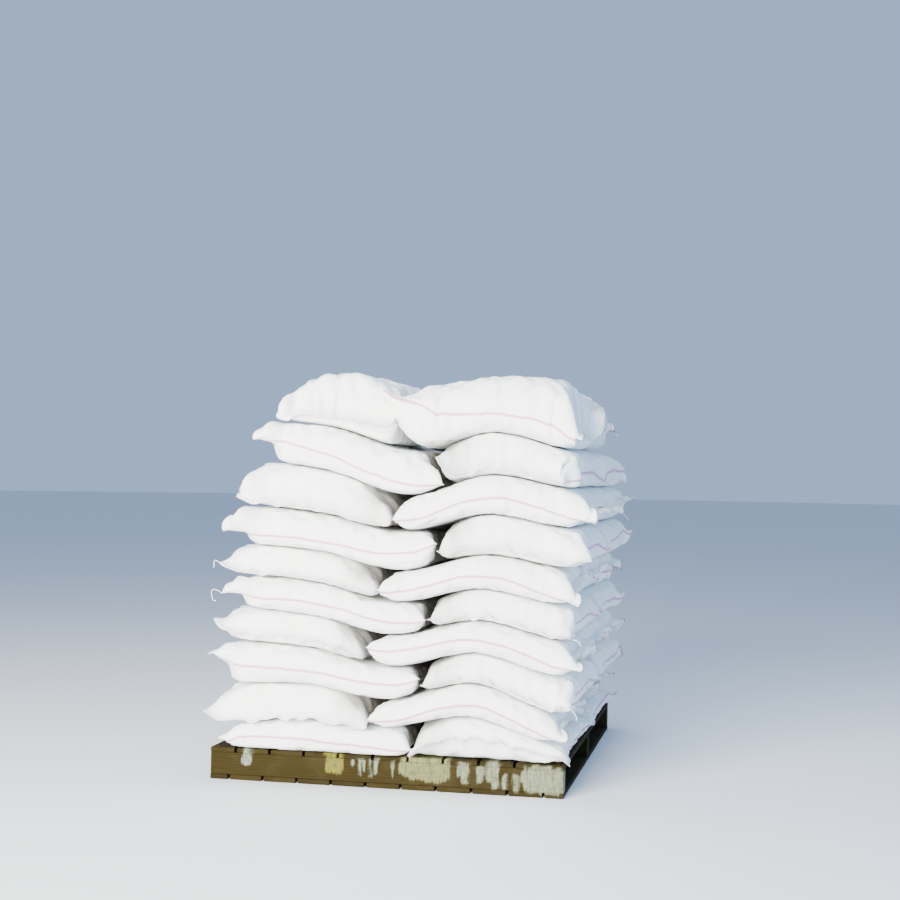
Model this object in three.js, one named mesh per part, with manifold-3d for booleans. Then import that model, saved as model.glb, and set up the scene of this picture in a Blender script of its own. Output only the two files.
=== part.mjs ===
// A wooden pallet with ten layers of filled woven sacks.
//
// X runs along the pallet's length, Y into its depth and Z up, in millimetres. The front is the -Y side.
// Each layer is a pattern of five sacks: three side by side lying along X in one column, and two end to
// end lying along Y in the other. The columns change sides from layer to layer.

import * as THREE from "three";
import * as BufferGeometryUtils from "three/addons/utils/BufferGeometryUtils.js";
import Module from "manifold-3d";

const wasm = await Module();
wasm.setup();

// Pallet
const PALLET_LENGTH = 1400;
const PALLET_DEPTH = 1400;
const DECK_THICKNESS = 20;
const STRINGER_HEIGHT = 85;
const STRINGER_WIDTH = 50;
const BOARD_GAP = 11.7;
const BOARD_WIDTH = 127;
const TOP_FIRST_BOARD_WIDTH = 97;
const TOP_FULL_BOARDS = 8;
const BOTTOM_FULL_BOARDS = 9;
// Between two boards only a thin web over each stringer is left, half as thick as a board.
const WEB_THICKNESS = DECK_THICKNESS / 2;
const WEB_INSET = 8;

const BOTTOM_DECK_Z = 0;
const STRINGER_Z = DECK_THICKNESS;
const TOP_DECK_Z = DECK_THICKNESS + STRINGER_HEIGHT;
const PALLET_TOP = TOP_DECK_Z + DECK_THICKNESS;

// Sacks
const ROW_OF_THREE_DEPTH = 1470;
const ROW_OF_TWO_DEPTH = 1530;
const SIDE_GAP = 0.6;
const LAYER_GAP = 0.6;
const STACK_HALF_WIDTH = 650;
const STACK_LEAN = Math.tan(THREE.MathUtils.degToRad(4));
// Each surface between two layers is made of plane strips, with its folds at every LINE_STEP of X. The sacks
// above and below it share those lines, so they lie flat on each other.
const LINE_STEP = 100;
const RIM_STEP = 35;
const LEAST_CELL = 20;
const CELLS_ALONG_DEPTH = 8;
const CELLS_ACROSS_DEPTH = 6;
// A pressed sack is flat where its free shape would be thicker than the room between its neighbours.
const PRESSED_FULLNESS = 1.28;
const FREE_FULLNESS = 1;
const EAR_LENGTH = 24;
const EAR_START = 0.85;
// How high in its sack a seam lies, from 0 at the underside to 1 at the top: the side folds halfway up, and
// the end seams at their middle and at their corners. The inner ends of the top right sacks are pushed up by
// those they lie against.
const SIDE_FOLD = 0.5;
const END_SEAMS = {
  endOn: { middle: 0.22, corner: 0.5 },
  leftOuter: { middle: 0.7, corner: 0.7 },
  rightOuter: { middle: 0.5, corner: 0.5 },
  inner: { middle: 0.4, corner: 0.4 },
  topInner: { middle: 0.8, corner: 0.8 },
};

// From the pallet up. left, joint and right are the X of the layer's ends and of the joint between its two
// columns. crest is the height of the layer's top over the pallet: at the left end, the middle of the left
// column, the joint, the middle of the right column and the right end.
const LAYERS = [
  { left: -653, joint: 120, right: 723, crest: [95, 124, 108, 160, 78] },
  { left: -690, joint: -63, right: 720, crest: [250, 258, 212, 288, 188] },
  { left: -701, joint: 150, right: 753, crest: [415, 397, 338, 403, 328] },
  { left: -666, joint: -72, right: 763, crest: [550, 524, 462, 528, 462] },
  { left: -645, joint: 176, right: 750, crest: [678, 654, 588, 648, 595] },
  { left: -658, joint: -34, right: 750, crest: [797, 776, 710, 778, 735] },
  { left: -643, joint: 206, right: 782, crest: [950, 922, 862, 933, 885] },
  { left: -577, joint: 22, right: 797, crest: [1125, 1092, 1002, 1084, 1035] },
  { left: -529, joint: 199, right: 760, crest: [1280, 1262, 1175, 1248, 1175] },
  { left: -432, joint: 35, right: 774, crest: [1400, 1478, 1425, 1464, 1452] },
];
const TOP_LAYER = LAYERS.length - 1;

const wood = new THREE.MeshStandardMaterial({ color: 0x8c6434, roughness: 0.85, metalness: 0 });
const wovenSack = new THREE.MeshStandardMaterial({ color: 0xe9eeec, roughness: 0.55, metalness: 0 });

const model = new THREE.Group();

function addMesh(name, geometry, material) {
  const mesh = new THREE.Mesh(geometry, material);
  mesh.name = name;
  model.add(mesh);
}

// Booleans

function toSolid(geometry) {
  const bare = geometry.clone();
  bare.deleteAttribute("normal");
  bare.deleteAttribute("uv");
  const merged = BufferGeometryUtils.mergeVertices(bare);
  return new wasm.Manifold(
    new wasm.Mesh({
      numProp: 3,
      vertProperties: new Float32Array(merged.attributes.position.array),
      triVerts: new Uint32Array(merged.index.array),
    }),
  );
}

function toGeometry(solid) {
  const { vertProperties, triVerts } = solid.getMesh();
  const geometry = new THREE.BufferGeometry();
  geometry.setAttribute("position", new THREE.BufferAttribute(vertProperties, 3));
  geometry.setIndex(new THREE.BufferAttribute(triVerts, 1));
  geometry.computeVertexNormals();
  return geometry;
}

// A box between two X values and two Y values, with its underside at z.
function slab(x0, x1, y0, y1, z, thickness) {
  const box = new THREE.BoxGeometry(x1 - x0, y1 - y0, thickness);
  return box.translate((x0 + x1) / 2, (y0 + y1) / 2, z + thickness / 2);
}

// Pallet

const STRINGER_CENTERS = {
  front: -(PALLET_DEPTH - STRINGER_WIDTH) / 2,
  middle: 0,
  back: (PALLET_DEPTH - STRINGER_WIDTH) / 2,
};

function addStringers() {
  for (const [place, y] of Object.entries(STRINGER_CENTERS)) {
    const beam = slab(
      -PALLET_LENGTH / 2,
      PALLET_LENGTH / 2,
      y - STRINGER_WIDTH / 2,
      y + STRINGER_WIDTH / 2,
      STRINGER_Z,
      STRINGER_HEIGHT,
    );
    addMesh(`stringer_${place}`, beam, wood);
  }
}

// The X of both edges of each board: a first board, the full boards, and one that fills what is left.
function boardEdges(firstWidth, fullBoards) {
  const edges = [[0, firstWidth]];
  for (let board = 0; board < fullBoards; board += 1) {
    const start = firstWidth + BOARD_GAP + board * (BOARD_WIDTH + BOARD_GAP);
    edges.push([start, start + BOARD_WIDTH]);
  }
  const lastStart = edges[edges.length - 1][1] + BOARD_GAP;
  edges.push([lastStart, PALLET_LENGTH]);
  return edges.map(([start, end]) => [start - PALLET_LENGTH / 2, end - PALLET_LENGTH / 2]);
}

// One layer of boards as one solid, with the gaps between the boards cut right through it, and only a
// web at each stringer. webZ is the height of the webs' underside.
function deckSolid(edges, z, webZ) {
  const y1 = PALLET_DEPTH / 2;
  let deck = toSolid(slab(-PALLET_LENGTH / 2, PALLET_LENGTH / 2, -y1, y1, z, DECK_THICKNESS));
  for (let board = 1; board < edges.length; board += 1) {
    const gapStart = edges[board - 1][1];
    const gapEnd = edges[board][0];
    let slot = toSolid(slab(gapStart, gapEnd, -y1 - 1, y1 + 1, z - 1, DECK_THICKNESS + 2));
    for (const y of Object.values(STRINGER_CENTERS)) {
      const halfWeb = STRINGER_WIDTH / 2 - WEB_INSET;
      const web = slab(gapStart - 1, gapEnd + 1, y - halfWeb, y + halfWeb, webZ, WEB_THICKNESS);
      slot = slot.subtract(toSolid(web));
    }
    deck = deck.subtract(slot);
  }
  return toGeometry(deck);
}

function addDecks() {
  const top = boardEdges(TOP_FIRST_BOARD_WIDTH, TOP_FULL_BOARDS);
  addMesh("top_deck_boards", deckSolid(top, TOP_DECK_Z, TOP_DECK_Z), wood);

  const fullWidth = BOTTOM_FULL_BOARDS * BOARD_WIDTH + (BOTTOM_FULL_BOARDS + 1) * BOARD_GAP;
  const bottom = boardEdges((PALLET_LENGTH - fullWidth) / 2, BOTTOM_FULL_BOARDS);
  addMesh("bottom_deck_boards", deckSolid(bottom, BOTTOM_DECK_Z, WEB_THICKNESS), wood);
}

// Surfaces between the layers

// A smooth curve through the five crest heights, at place -1, -0.5, 0, 0.5 and 1 across the stack.
function crestHeight(crest, place) {
  const step = THREE.MathUtils.clamp((place + 1) * 2, 0, 4);
  const cell = Math.min(Math.floor(step), 3);
  const at = (index) => crest[THREE.MathUtils.clamp(index, 0, 4)];
  const t = step - cell;
  const slope0 = (at(cell + 1) - at(cell - 1)) / 2;
  const slope1 = (at(cell + 2) - at(cell)) / 2;
  const t2 = t * t;
  const t3 = t2 * t;
  return (
    (2 * t3 - 3 * t2 + 1) * at(cell) +
    (t3 - 2 * t2 + t) * slope0 +
    (3 * t2 - 2 * t3) * at(cell + 1) +
    (t3 - t2) * slope1
  );
}

// The height of the surface on top of a layer. Layer -1 is the pallet's flat deck.
function surfaceHeight(layer, x) {
  if (layer < 0) {
    return PALLET_TOP;
  }
  const { crest } = LAYERS[layer];
  const middle = STACK_LEAN * crest[2];
  const heightAtLine = (line) => crestHeight(crest, (line * LINE_STEP - middle) / STACK_HALF_WIDTH);
  const line = Math.floor(x / LINE_STEP);
  const share = x / LINE_STEP - line;
  return PALLET_TOP + THREE.MathUtils.lerp(heightAtLine(line), heightAtLine(line + 1), share);
}

// Sacks

// How full a free sack is at u along it and v across it, each from -1 to 1: round at its long sides and
// running out to a flat seam at its ends.
function puff(u, v) {
  return (1 - Math.abs(u) ** 5) ** 0.8 * Math.sqrt(1 - v ** 4);
}

// The top, the underside and the seam height of a sack at (u, v), where its plan point has this x.
function sackHeights(sack, u, v, x) {
  const low = sack.floor(x);
  const high = sack.ceiling(x);
  const seam = u < 0 ? sack.startSeam : sack.endSeam;
  const atEnd = THREE.MathUtils.lerp(seam.middle, seam.corner, v ** 6);
  const middle = THREE.MathUtils.lerp(low, high, THREE.MathUtils.lerp(SIDE_FOLD, atEnd, u ** 4));
  const half = ((high - low) / 2) * sack.fullness * puff(u, v);
  return { top: Math.min(middle + half, high), bottom: Math.max(middle - half, low), middle };
}

// The plan point of (u, v). The corners stand out past the middle of the end seam as ears.
function planPoint(sack, u, v) {
  const nearEnd = Math.max(0, (Math.abs(u) - EAR_START) / (1 - EAR_START));
  const ear = EAR_LENGTH * (1 - v * v) * nearEnd ** 2 * Math.sign(u);
  const along = sack.halfLength * u - ear;
  const across = sack.halfWidth * v;
  const x = sack.x + (sack.alongX ? along : across);
  const y = sack.y + (sack.alongX ? across : along);
  return [x, y];
}

// Grid places from -1 to 1 that are closer together towards the seams, where the shape turns.
function depthLines(cells) {
  return Array.from({ length: cells + 1 }, (_, index) => Math.sin((Math.PI / 2) * ((2 * index) / cells - 1)));
}

// Grid places from -1 to 1 over an X interval: its ends, a step inside each, and the shared lines between.
function sharedLines(center, halfSize) {
  const inner = halfSize - RIM_STEP;
  const offsets = [-halfSize, -inner];
  const firstLine = Math.ceil((center - inner + LEAST_CELL) / LINE_STEP);
  for (let x = firstLine * LINE_STEP; x < center + inner - LEAST_CELL; x += LINE_STEP) {
    offsets.push(x - center);
  }
  offsets.push(inner, halfSize);
  return offsets.map((offset) => offset / halfSize);
}

// A closed pillow of two grids, an upper and a lower one, which share the points of the seam.
function sackGeometry(sack) {
  const alongLines = sack.alongX ? sharedLines(sack.x, sack.halfLength) : depthLines(CELLS_ALONG_DEPTH);
  const acrossLines = sack.alongX ? depthLines(CELLS_ACROSS_DEPTH) : sharedLines(sack.x, sack.halfWidth);
  const positions = [];
  const upper = [];
  const lower = [];
  const addVertex = (x, y, z) => positions.push(x, y, z) / 3 - 1;
  for (const u of alongLines) {
    const upperLine = [];
    const lowerLine = [];
    for (const v of acrossLines) {
      const [x, y] = planPoint(sack, u, v);
      const { top, bottom, middle } = sackHeights(sack, u, v, x);
      const onSeam = Math.abs(u) === 1 || Math.abs(v) === 1;
      upperLine.push(addVertex(x, y, onSeam ? middle : top));
      lowerLine.push(onSeam ? upperLine.at(-1) : addVertex(x, y, bottom));
    }
    upper.push(upperLine);
    lower.push(lowerLine);
  }
  const triangles = [];
  const addQuad = (a, b, c, d) => triangles.push(a, b, c, a, c, d);
  for (let i = 0; i < alongLines.length - 1; i += 1) {
    for (let j = 0; j < acrossLines.length - 1; j += 1) {
      const corners = [[i, j], [i + 1, j], [i + 1, j + 1], [i, j + 1]];
      const above = corners.map(([a, b]) => upper[a][b]);
      const below = corners.map(([a, b]) => lower[a][b]);
      // Across Y the plan's axes change hands, so the winding turns too.
      if (sack.alongX) {
        addQuad(...above);
        addQuad(...below.reverse());
      } else {
        addQuad(...above.reverse());
        addQuad(...below);
      }
    }
  }
  const geometry = new THREE.BufferGeometry();
  geometry.setAttribute("position", new THREE.Float32BufferAttribute(positions, 3));
  geometry.setIndex(triangles);
  geometry.computeVertexNormals();
  return geometry;
}

// The parts of a row along Y: one plan interval for each of its sacks, from front to back.
function rowIntervals(depth, count) {
  const step = depth / count;
  return Array.from({ length: count }, (_, index) => {
    const start = index * step - depth / 2;
    return [start + SIDE_GAP / 2, start + step - SIDE_GAP / 2];
  });
}

// The heights of a lengthwise sack's two end seams, the one at its lower X first.
function lengthwiseSeams(layer, side) {
  if (side === "left") {
    return [END_SEAMS.leftOuter, END_SEAMS.inner];
  }
  return [layer === TOP_LAYER ? END_SEAMS.topInner : END_SEAMS.inner, END_SEAMS.rightOuter];
}

function columnSacks(layer, side, x0, x1, shared) {
  const lengthwise = (layer % 2 === 0) === (side === "left");
  const [startSeam, endSeam] = lengthwise ? lengthwiseSeams(layer, side) : [END_SEAMS.endOn, END_SEAMS.endOn];
  const depth = lengthwise ? ROW_OF_THREE_DEPTH : ROW_OF_TWO_DEPTH;
  const places = lengthwise ? ["front", "middle", "back"] : ["front", "back"];
  const halfX = (x1 - x0) / 2;
  return rowIntervals(depth, places.length).map(([y0, y1], index) => ({
    name: `sack_${String(layer + 1).padStart(2, "0")}_${side}_${places[index]}`,
    x: (x0 + x1) / 2,
    y: (y0 + y1) / 2,
    alongX: lengthwise,
    halfLength: lengthwise ? halfX : (y1 - y0) / 2,
    halfWidth: lengthwise ? (y1 - y0) / 2 : halfX,
    startSeam,
    endSeam,
    ...shared,
  }));
}

function addLayer(layer) {
  const { left, joint, right } = LAYERS[layer];
  const shared = {
    floor: (x) => surfaceHeight(layer - 1, x) + LAYER_GAP / 2,
    ceiling: (x) => surfaceHeight(layer, x) - LAYER_GAP / 2,
    fullness: layer === TOP_LAYER ? FREE_FULLNESS : PRESSED_FULLNESS,
  };
  const leftSacks = columnSacks(layer, "left", left, joint - SIDE_GAP / 2, shared);
  const rightSacks = columnSacks(layer, "right", joint + SIDE_GAP / 2, right, shared);
  for (const sack of [...leftSacks, ...rightSacks]) {
    addMesh(sack.name, sackGeometry(sack), wovenSack);
  }
}

function centerOverFloor() {
  const box = new THREE.Box3().setFromObject(model);
  const center = box.getCenter(new THREE.Vector3());
  model.position.set(-center.x, -center.y, -box.min.z);
}

addStringers();
addDecks();
LAYERS.forEach((_, layer) => addLayer(layer));
centerOverFloor();

export default model;
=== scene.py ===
"""The looks of a pallet of sacks: a two-way wooden pallet with ten layers of full woven sacks.

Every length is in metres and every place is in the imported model's frame: X along the pallet's stringers,
Y from the front face to the back and Z up.
"""

import logging
import math
from dataclasses import dataclass, field
from enum import Enum
from typing import Any

import bpy
import numpy as np
from mathutils import Matrix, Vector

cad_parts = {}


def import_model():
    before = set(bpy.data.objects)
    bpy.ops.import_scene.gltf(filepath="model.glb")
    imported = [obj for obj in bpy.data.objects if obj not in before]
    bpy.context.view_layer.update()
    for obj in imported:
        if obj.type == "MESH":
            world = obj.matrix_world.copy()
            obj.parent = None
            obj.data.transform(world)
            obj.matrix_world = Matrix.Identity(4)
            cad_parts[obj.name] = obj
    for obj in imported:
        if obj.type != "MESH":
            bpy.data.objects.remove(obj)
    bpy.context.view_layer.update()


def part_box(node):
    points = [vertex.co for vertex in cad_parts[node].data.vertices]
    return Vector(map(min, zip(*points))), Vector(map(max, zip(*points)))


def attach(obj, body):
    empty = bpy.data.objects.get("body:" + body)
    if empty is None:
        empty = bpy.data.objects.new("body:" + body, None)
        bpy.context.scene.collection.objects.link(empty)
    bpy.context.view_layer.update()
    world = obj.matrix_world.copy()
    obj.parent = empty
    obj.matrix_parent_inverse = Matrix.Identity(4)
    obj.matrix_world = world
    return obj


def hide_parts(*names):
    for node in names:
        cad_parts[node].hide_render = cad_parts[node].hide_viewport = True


Array = np.ndarray

LOG = logging.getLogger("pallet_of_sacks")
BODY = "root"
UP = np.array([0.0, 0.0, 1.0])

# Half the length and half the width of a sack's cloth laid flat, without its hems.
HALF_LENGTH = 0.42
HALF_WIDTH = 0.30
# What a sack keeps clear of the surface between two layers.
CLEARANCE = 0.0003


# Small helpers


def linear_colour(code: str) -> tuple[float, float, float, float]:
    """Turns an sRGB hex colour into the linear values that a shader takes.

    Args:
        code: six hex digits after a hash, such as "#F0F0F0".

    Returns:
        Linear red, green and blue, and an alpha of one.
    """
    values = [int(code[place : place + 2], 16) / 255 for place in (1, 3, 5)]
    linear = [v / 12.92 if v <= 0.04045 else ((v + 0.055) / 1.055) ** 2.4 for v in values]
    return (linear[0], linear[1], linear[2], 1.0)


def add_node(
    tree: bpy.types.NodeTree,
    kind: str,
    settings: dict[str, Any] | None = None,
    inputs: dict[str | int, Any] | None = None,
) -> bpy.types.Node:
    """Adds one node to a tree and sets it up.

    Args:
        tree: the node tree.
        kind: the node's type, such as "ShaderNodeTexNoise".
        settings: the node's own properties.
        inputs: for each input, by name or place, the socket that feeds it or its plain value.

    Returns:
        The new node.
    """
    node = tree.nodes.new(kind)
    for name, value in (settings or {}).items():
        setattr(node, name, value)
    for name, value in (inputs or {}).items():
        if isinstance(value, bpy.types.NodeSocket):
            tree.links.new(value, node.inputs[name])
        else:
            node.inputs[name].default_value = value
    return node


def new_material(name: str) -> tuple[bpy.types.Material, bpy.types.NodeTree, bpy.types.Node]:
    """Makes a material with a bare principled shader.

    Args:
        name: the material's name.

    Returns:
        The material, its node tree and its shader node.
    """
    material = bpy.data.materials.new(name)
    material.use_nodes = True
    tree = material.node_tree
    return material, tree, tree.nodes["Principled BSDF"]


def smooth_step(low: float, high: float, value: Array) -> Array:
    """Rises from 0 at low to 1 at high along 3t^2 - 2t^3."""
    t = np.clip((value - low) / (high - low), 0.0, 1.0)
    return t * t * (3.0 - 2.0 * t)


def mix(low: Array | float, high: Array | float, share: Array | float) -> Array:
    """The straight mix of two values."""
    return low + (high - low) * share


def plane_waves(
    places: Array, rng: np.random.Generator, lengths: tuple[float, float], count: int = 9
) -> Array:
    """A smooth random field: the sum of cosines of plane waves with random directions and phases.

    Args:
        places: points, with their coordinates in the last axis.
        rng: the seeded source of the directions and phases.
        lengths: the shortest and the longest wave length.
        count: how many waves are added.

    Returns:
        One value for each point, mostly between -1 and 1.
    """
    directions = rng.normal(size=(count, places.shape[-1]))
    directions /= np.linalg.norm(directions, axis=1, keepdims=True)
    wave_numbers = 2 * math.pi / rng.uniform(lengths[0], lengths[1], count)
    phases = rng.uniform(0, 2 * math.pi, count)
    angles = places @ (directions * wave_numbers[:, None]).T + phases
    return np.cos(angles).sum(-1) / math.sqrt(count / 2) / 1.4


@dataclass
class MeshParts:
    """Quads gathered from several surfaces, on their way into one mesh."""

    vertices: list[Array] = field(default_factory=list)
    quads: list[Array] = field(default_factory=list)
    places: list[Array] = field(default_factory=list)
    finishes: list[Array] = field(default_factory=list)
    count: int = 0

    def add(self, vertices: Array, quads: Array, places: Array | None = None, finish: int = 0) -> None:
        """Adds one surface.

        Args:
            vertices: its points, one a row.
            quads: four point numbers a row.
            places: the pattern coordinates of each quad's corners, shaped (quads, 4, 2), or None for zeros.
            finish: the place of its material among the object's materials.
        """
        self.vertices.append(vertices)
        self.quads.append(quads + self.count)
        self.places.append(np.zeros((len(quads), 4, 2)) if places is None else places)
        self.finishes.append(np.full(len(quads), finish, np.int32))
        self.count += len(vertices)

    def to_object(self, name: str, materials: list[bpy.types.Material]) -> bpy.types.Object:
        """Puts the surfaces into a new mesh object at the origin.

        Args:
            name: the piece's name.
            materials: its materials, in the order of the finish numbers.

        Returns:
            The new object, linked to the scene.
        """
        vertices = np.concatenate(self.vertices).astype(np.float32)
        quads = np.concatenate(self.quads).astype(np.int32)
        mesh = bpy.data.meshes.new(name)
        mesh.vertices.add(len(vertices))
        mesh.vertices.foreach_set("co", vertices.ravel())
        mesh.loops.add(quads.size)
        mesh.loops.foreach_set("vertex_index", quads.ravel())
        mesh.polygons.add(len(quads))
        mesh.polygons.foreach_set("loop_start", np.arange(0, quads.size, 4, dtype=np.int32))
        mesh.polygons.foreach_set("use_smooth", np.ones(len(quads), bool))
        mesh.polygons.foreach_set("material_index", np.concatenate(self.finishes))
        mesh.update(calc_edges=True)
        layer = mesh.uv_layers.new(name="Places")
        layer.data.foreach_set("uv", np.concatenate(self.places).astype(np.float32).ravel())
        mesh.validate()
        for material in materials:
            mesh.materials.append(material)
        piece = bpy.data.objects.new(name, mesh)
        bpy.context.scene.collection.objects.link(piece)
        return piece


def set_attribute(piece: bpy.types.Object, name: str, values: Array) -> None:
    """Stores one number or one vector for each vertex of a piece, for its material to read.

    Args:
        piece: the piece.
        name: the attribute's name.
        values: the numbers, or the vectors one a row.
    """
    kind, key = ("FLOAT", "value") if values.ndim == 1 else ("FLOAT_VECTOR", "vector")
    attribute = piece.data.attributes.new(name, kind, "POINT")
    attribute.data.foreach_set(key, values.astype(np.float32).ravel())


def grid_quads(numbers: Array) -> Array:
    """The quads of a grid of point numbers, turned so that they face along first axis x second axis."""
    corners = (numbers[:-1, :-1], numbers[1:, :-1], numbers[1:, 1:], numbers[:-1, 1:])
    return np.stack(corners, -1).reshape(-1, 4)


def closed_pair(upper: Array, lower: Array) -> tuple[Array, Array, Array]:
    """Joins an upper and a lower sheet that share their rims into one closed shell.

    Both sheets are grids of points. The lower sheet's rim points are left out and the upper's used instead.

    Args:
        upper: the upper sheet's points, shaped (rows, columns, 3).
        lower: the lower sheet's points, of the same shape.

    Returns:
        The points, the upper sheet's quads and the lower sheet's quads, all facing outwards where the rows
        run along x, the columns along y and the upper sheet lies higher.
    """
    rows, columns = upper.shape[:2]
    above = np.arange(rows * columns).reshape(rows, columns)
    below = above.copy()
    inner = np.zeros((rows, columns), bool)
    inner[1:-1, 1:-1] = True
    below[inner] = rows * columns + np.arange(inner.sum())
    points = np.concatenate([upper.reshape(-1, 3), lower[inner]])
    return points, grid_quads(above), grid_quads(below)[:, ::-1]


def tube(path: Array, radii: Array, reference: Array) -> tuple[Array, Array]:
    """A closed four-sided tube carried along a path.

    Each ring is the path's point plus the radius times a unit square turned into the plane across the path,
    whose first axis is the path's direction crossed with the reference. Each end is closed by one quad.

    Args:
        path: the points of the centre line.
        radii: the radius at each point.
        reference: a direction that the path never runs along.

    Returns:
        The points and the quads.
    """
    tangent = np.gradient(path, axis=0)
    tangent /= np.linalg.norm(tangent, axis=1, keepdims=True)
    side = np.cross(tangent, reference)
    side /= np.linalg.norm(side, axis=1, keepdims=True)
    up = np.cross(side, tangent)
    turns = np.arange(4) * math.pi / 2
    ring = side[:, None] * np.cos(turns)[:, None] + up[:, None] * np.sin(turns)[:, None]
    points = path[:, None] + ring * radii[:, None, None]
    numbers = np.arange(len(path) * 4).reshape(-1, 4)
    wrapped = np.concatenate([numbers, numbers[:, :1]], 1)
    quads = np.concatenate([grid_quads(wrapped)[:, ::-1], numbers[:1, ::-1], numbers[-1:]])
    return points.reshape(-1, 3), quads


# Finishes


def calculate(
    tree: bpy.types.NodeTree, operation: str, *values: Any, clamp: bool = False
) -> bpy.types.NodeSocket:
    """Adds a math node that takes sockets or numbers in order, and gives the socket with its result."""
    settings = {"operation": operation, "use_clamp": clamp}
    return add_node(tree, "ShaderNodeMath", settings, dict(enumerate(values))).outputs[0]


def carry_over(
    tree: bpy.types.NodeTree,
    value: bpy.types.NodeSocket,
    source: tuple[float, float],
    target: tuple[float, float] = (0.0, 1.0),
    smooth: bool = False,
) -> bpy.types.NodeSocket:
    """Adds a node that carries one range of values over to another, and stops at both ends.

    Args:
        tree: the node tree.
        value: the socket with the values.
        source: the two ends of their range.
        target: what these two become.
        smooth: whether it goes along 3t^2 - 2t^3 instead of a straight line.

    Returns:
        The socket with the result.
    """
    settings = {"interpolation_type": "SMOOTHSTEP" if smooth else "LINEAR"}
    names = ("From Min", "From Max", "To Min", "To Max")
    inputs = {"Value": value, **dict(zip(names, (*source, *target)))}
    return add_node(tree, "ShaderNodeMapRange", settings, inputs).outputs[0]


def blend(
    tree: bpy.types.NodeTree,
    share: bpy.types.NodeSocket,
    low: bpy.types.NodeSocket | str,
    high: bpy.types.NodeSocket | str,
) -> bpy.types.NodeSocket:
    """Adds a node that mixes two colours.

    Args:
        tree: the node tree.
        share: the socket with the share of the second colour.
        low: the first colour, a hex code or a socket.
        high: the second colour, a hex code or a socket.

    Returns:
        The socket with the mixed colour.
    """
    first, second = (linear_colour(tint) if isinstance(tint, str) else tint for tint in (low, high))
    # Inputs 6 and 7 and output 2 are the node's sockets for colours.
    inputs = {0: share, 6: first, 7: second}
    return add_node(tree, "ShaderNodeMix", {"data_type": "RGBA"}, inputs).outputs[2]


def noise(
    tree: bpy.types.NodeTree,
    place: bpy.types.NodeSocket,
    scale: float,
    detail: float,
    roughness: float = 0.5,
    distortion: float = 0.0,
    settings: dict[str, str] | None = None,
) -> bpy.types.NodeSocket:
    """Adds a noise texture.

    Args:
        tree: the node tree.
        place: the socket with the coordinates.
        scale: how many lumps there are in one unit of the coordinates.
        detail: how many finer octaves are added.
        roughness: how strong these are.
        distortion: how far the coordinates are bent.
        settings: the node's own properties.

    Returns:
        The socket with the noise.
    """
    names = ("Vector", "Scale", "Detail", "Roughness", "Distortion")
    inputs = dict(zip(names, (place, scale, detail, roughness, distortion)))
    return add_node(tree, "ShaderNodeTexNoise", settings, inputs).outputs[0]


def stretch(
    tree: bpy.types.NodeTree, place: bpy.types.NodeSocket, scale: tuple[float, float, float]
) -> bpy.types.NodeSocket:
    """Adds a node that scales coordinates by one number for each axis, and gives its socket."""
    return add_node(tree, "ShaderNodeMapping", inputs={"Vector": place, "Scale": scale}).outputs[0]


def read_attribute(tree: bpy.types.NodeTree, name: str, output: str = "Fac") -> bpy.types.NodeSocket:
    """Adds a node that reads one of the mesh's own attributes, and gives its socket."""
    return add_node(tree, "ShaderNodeAttribute", {"attribute_name": name}).outputs[output]


def wave_scale(length: float) -> float:
    """The scale at which a wave texture, whose phase is 20 times its coordinate, repeats after a length."""
    return 2 * math.pi / (20 * length)


def add_bumps(
    tree: bpy.types.NodeTree,
    shader: bpy.types.Node,
    layers: tuple[tuple[float, float, bpy.types.NodeSocket], ...],
) -> None:
    """Adds bump nodes, each on top of the one before, and gives the last to the shader.

    Args:
        tree: the node tree.
        shader: the shader's node.
        layers: for each bump its strength, its depth in metres and the socket with its height.
    """
    normal = {}
    for strength, depth, height in layers:
        inputs = {"Strength": strength, "Distance": depth, "Height": height, **normal}
        normal = {"Normal": add_node(tree, "ShaderNodeBump", inputs=inputs).outputs[0]}
    tree.links.new(normal["Normal"], shader.inputs["Normal"])


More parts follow.
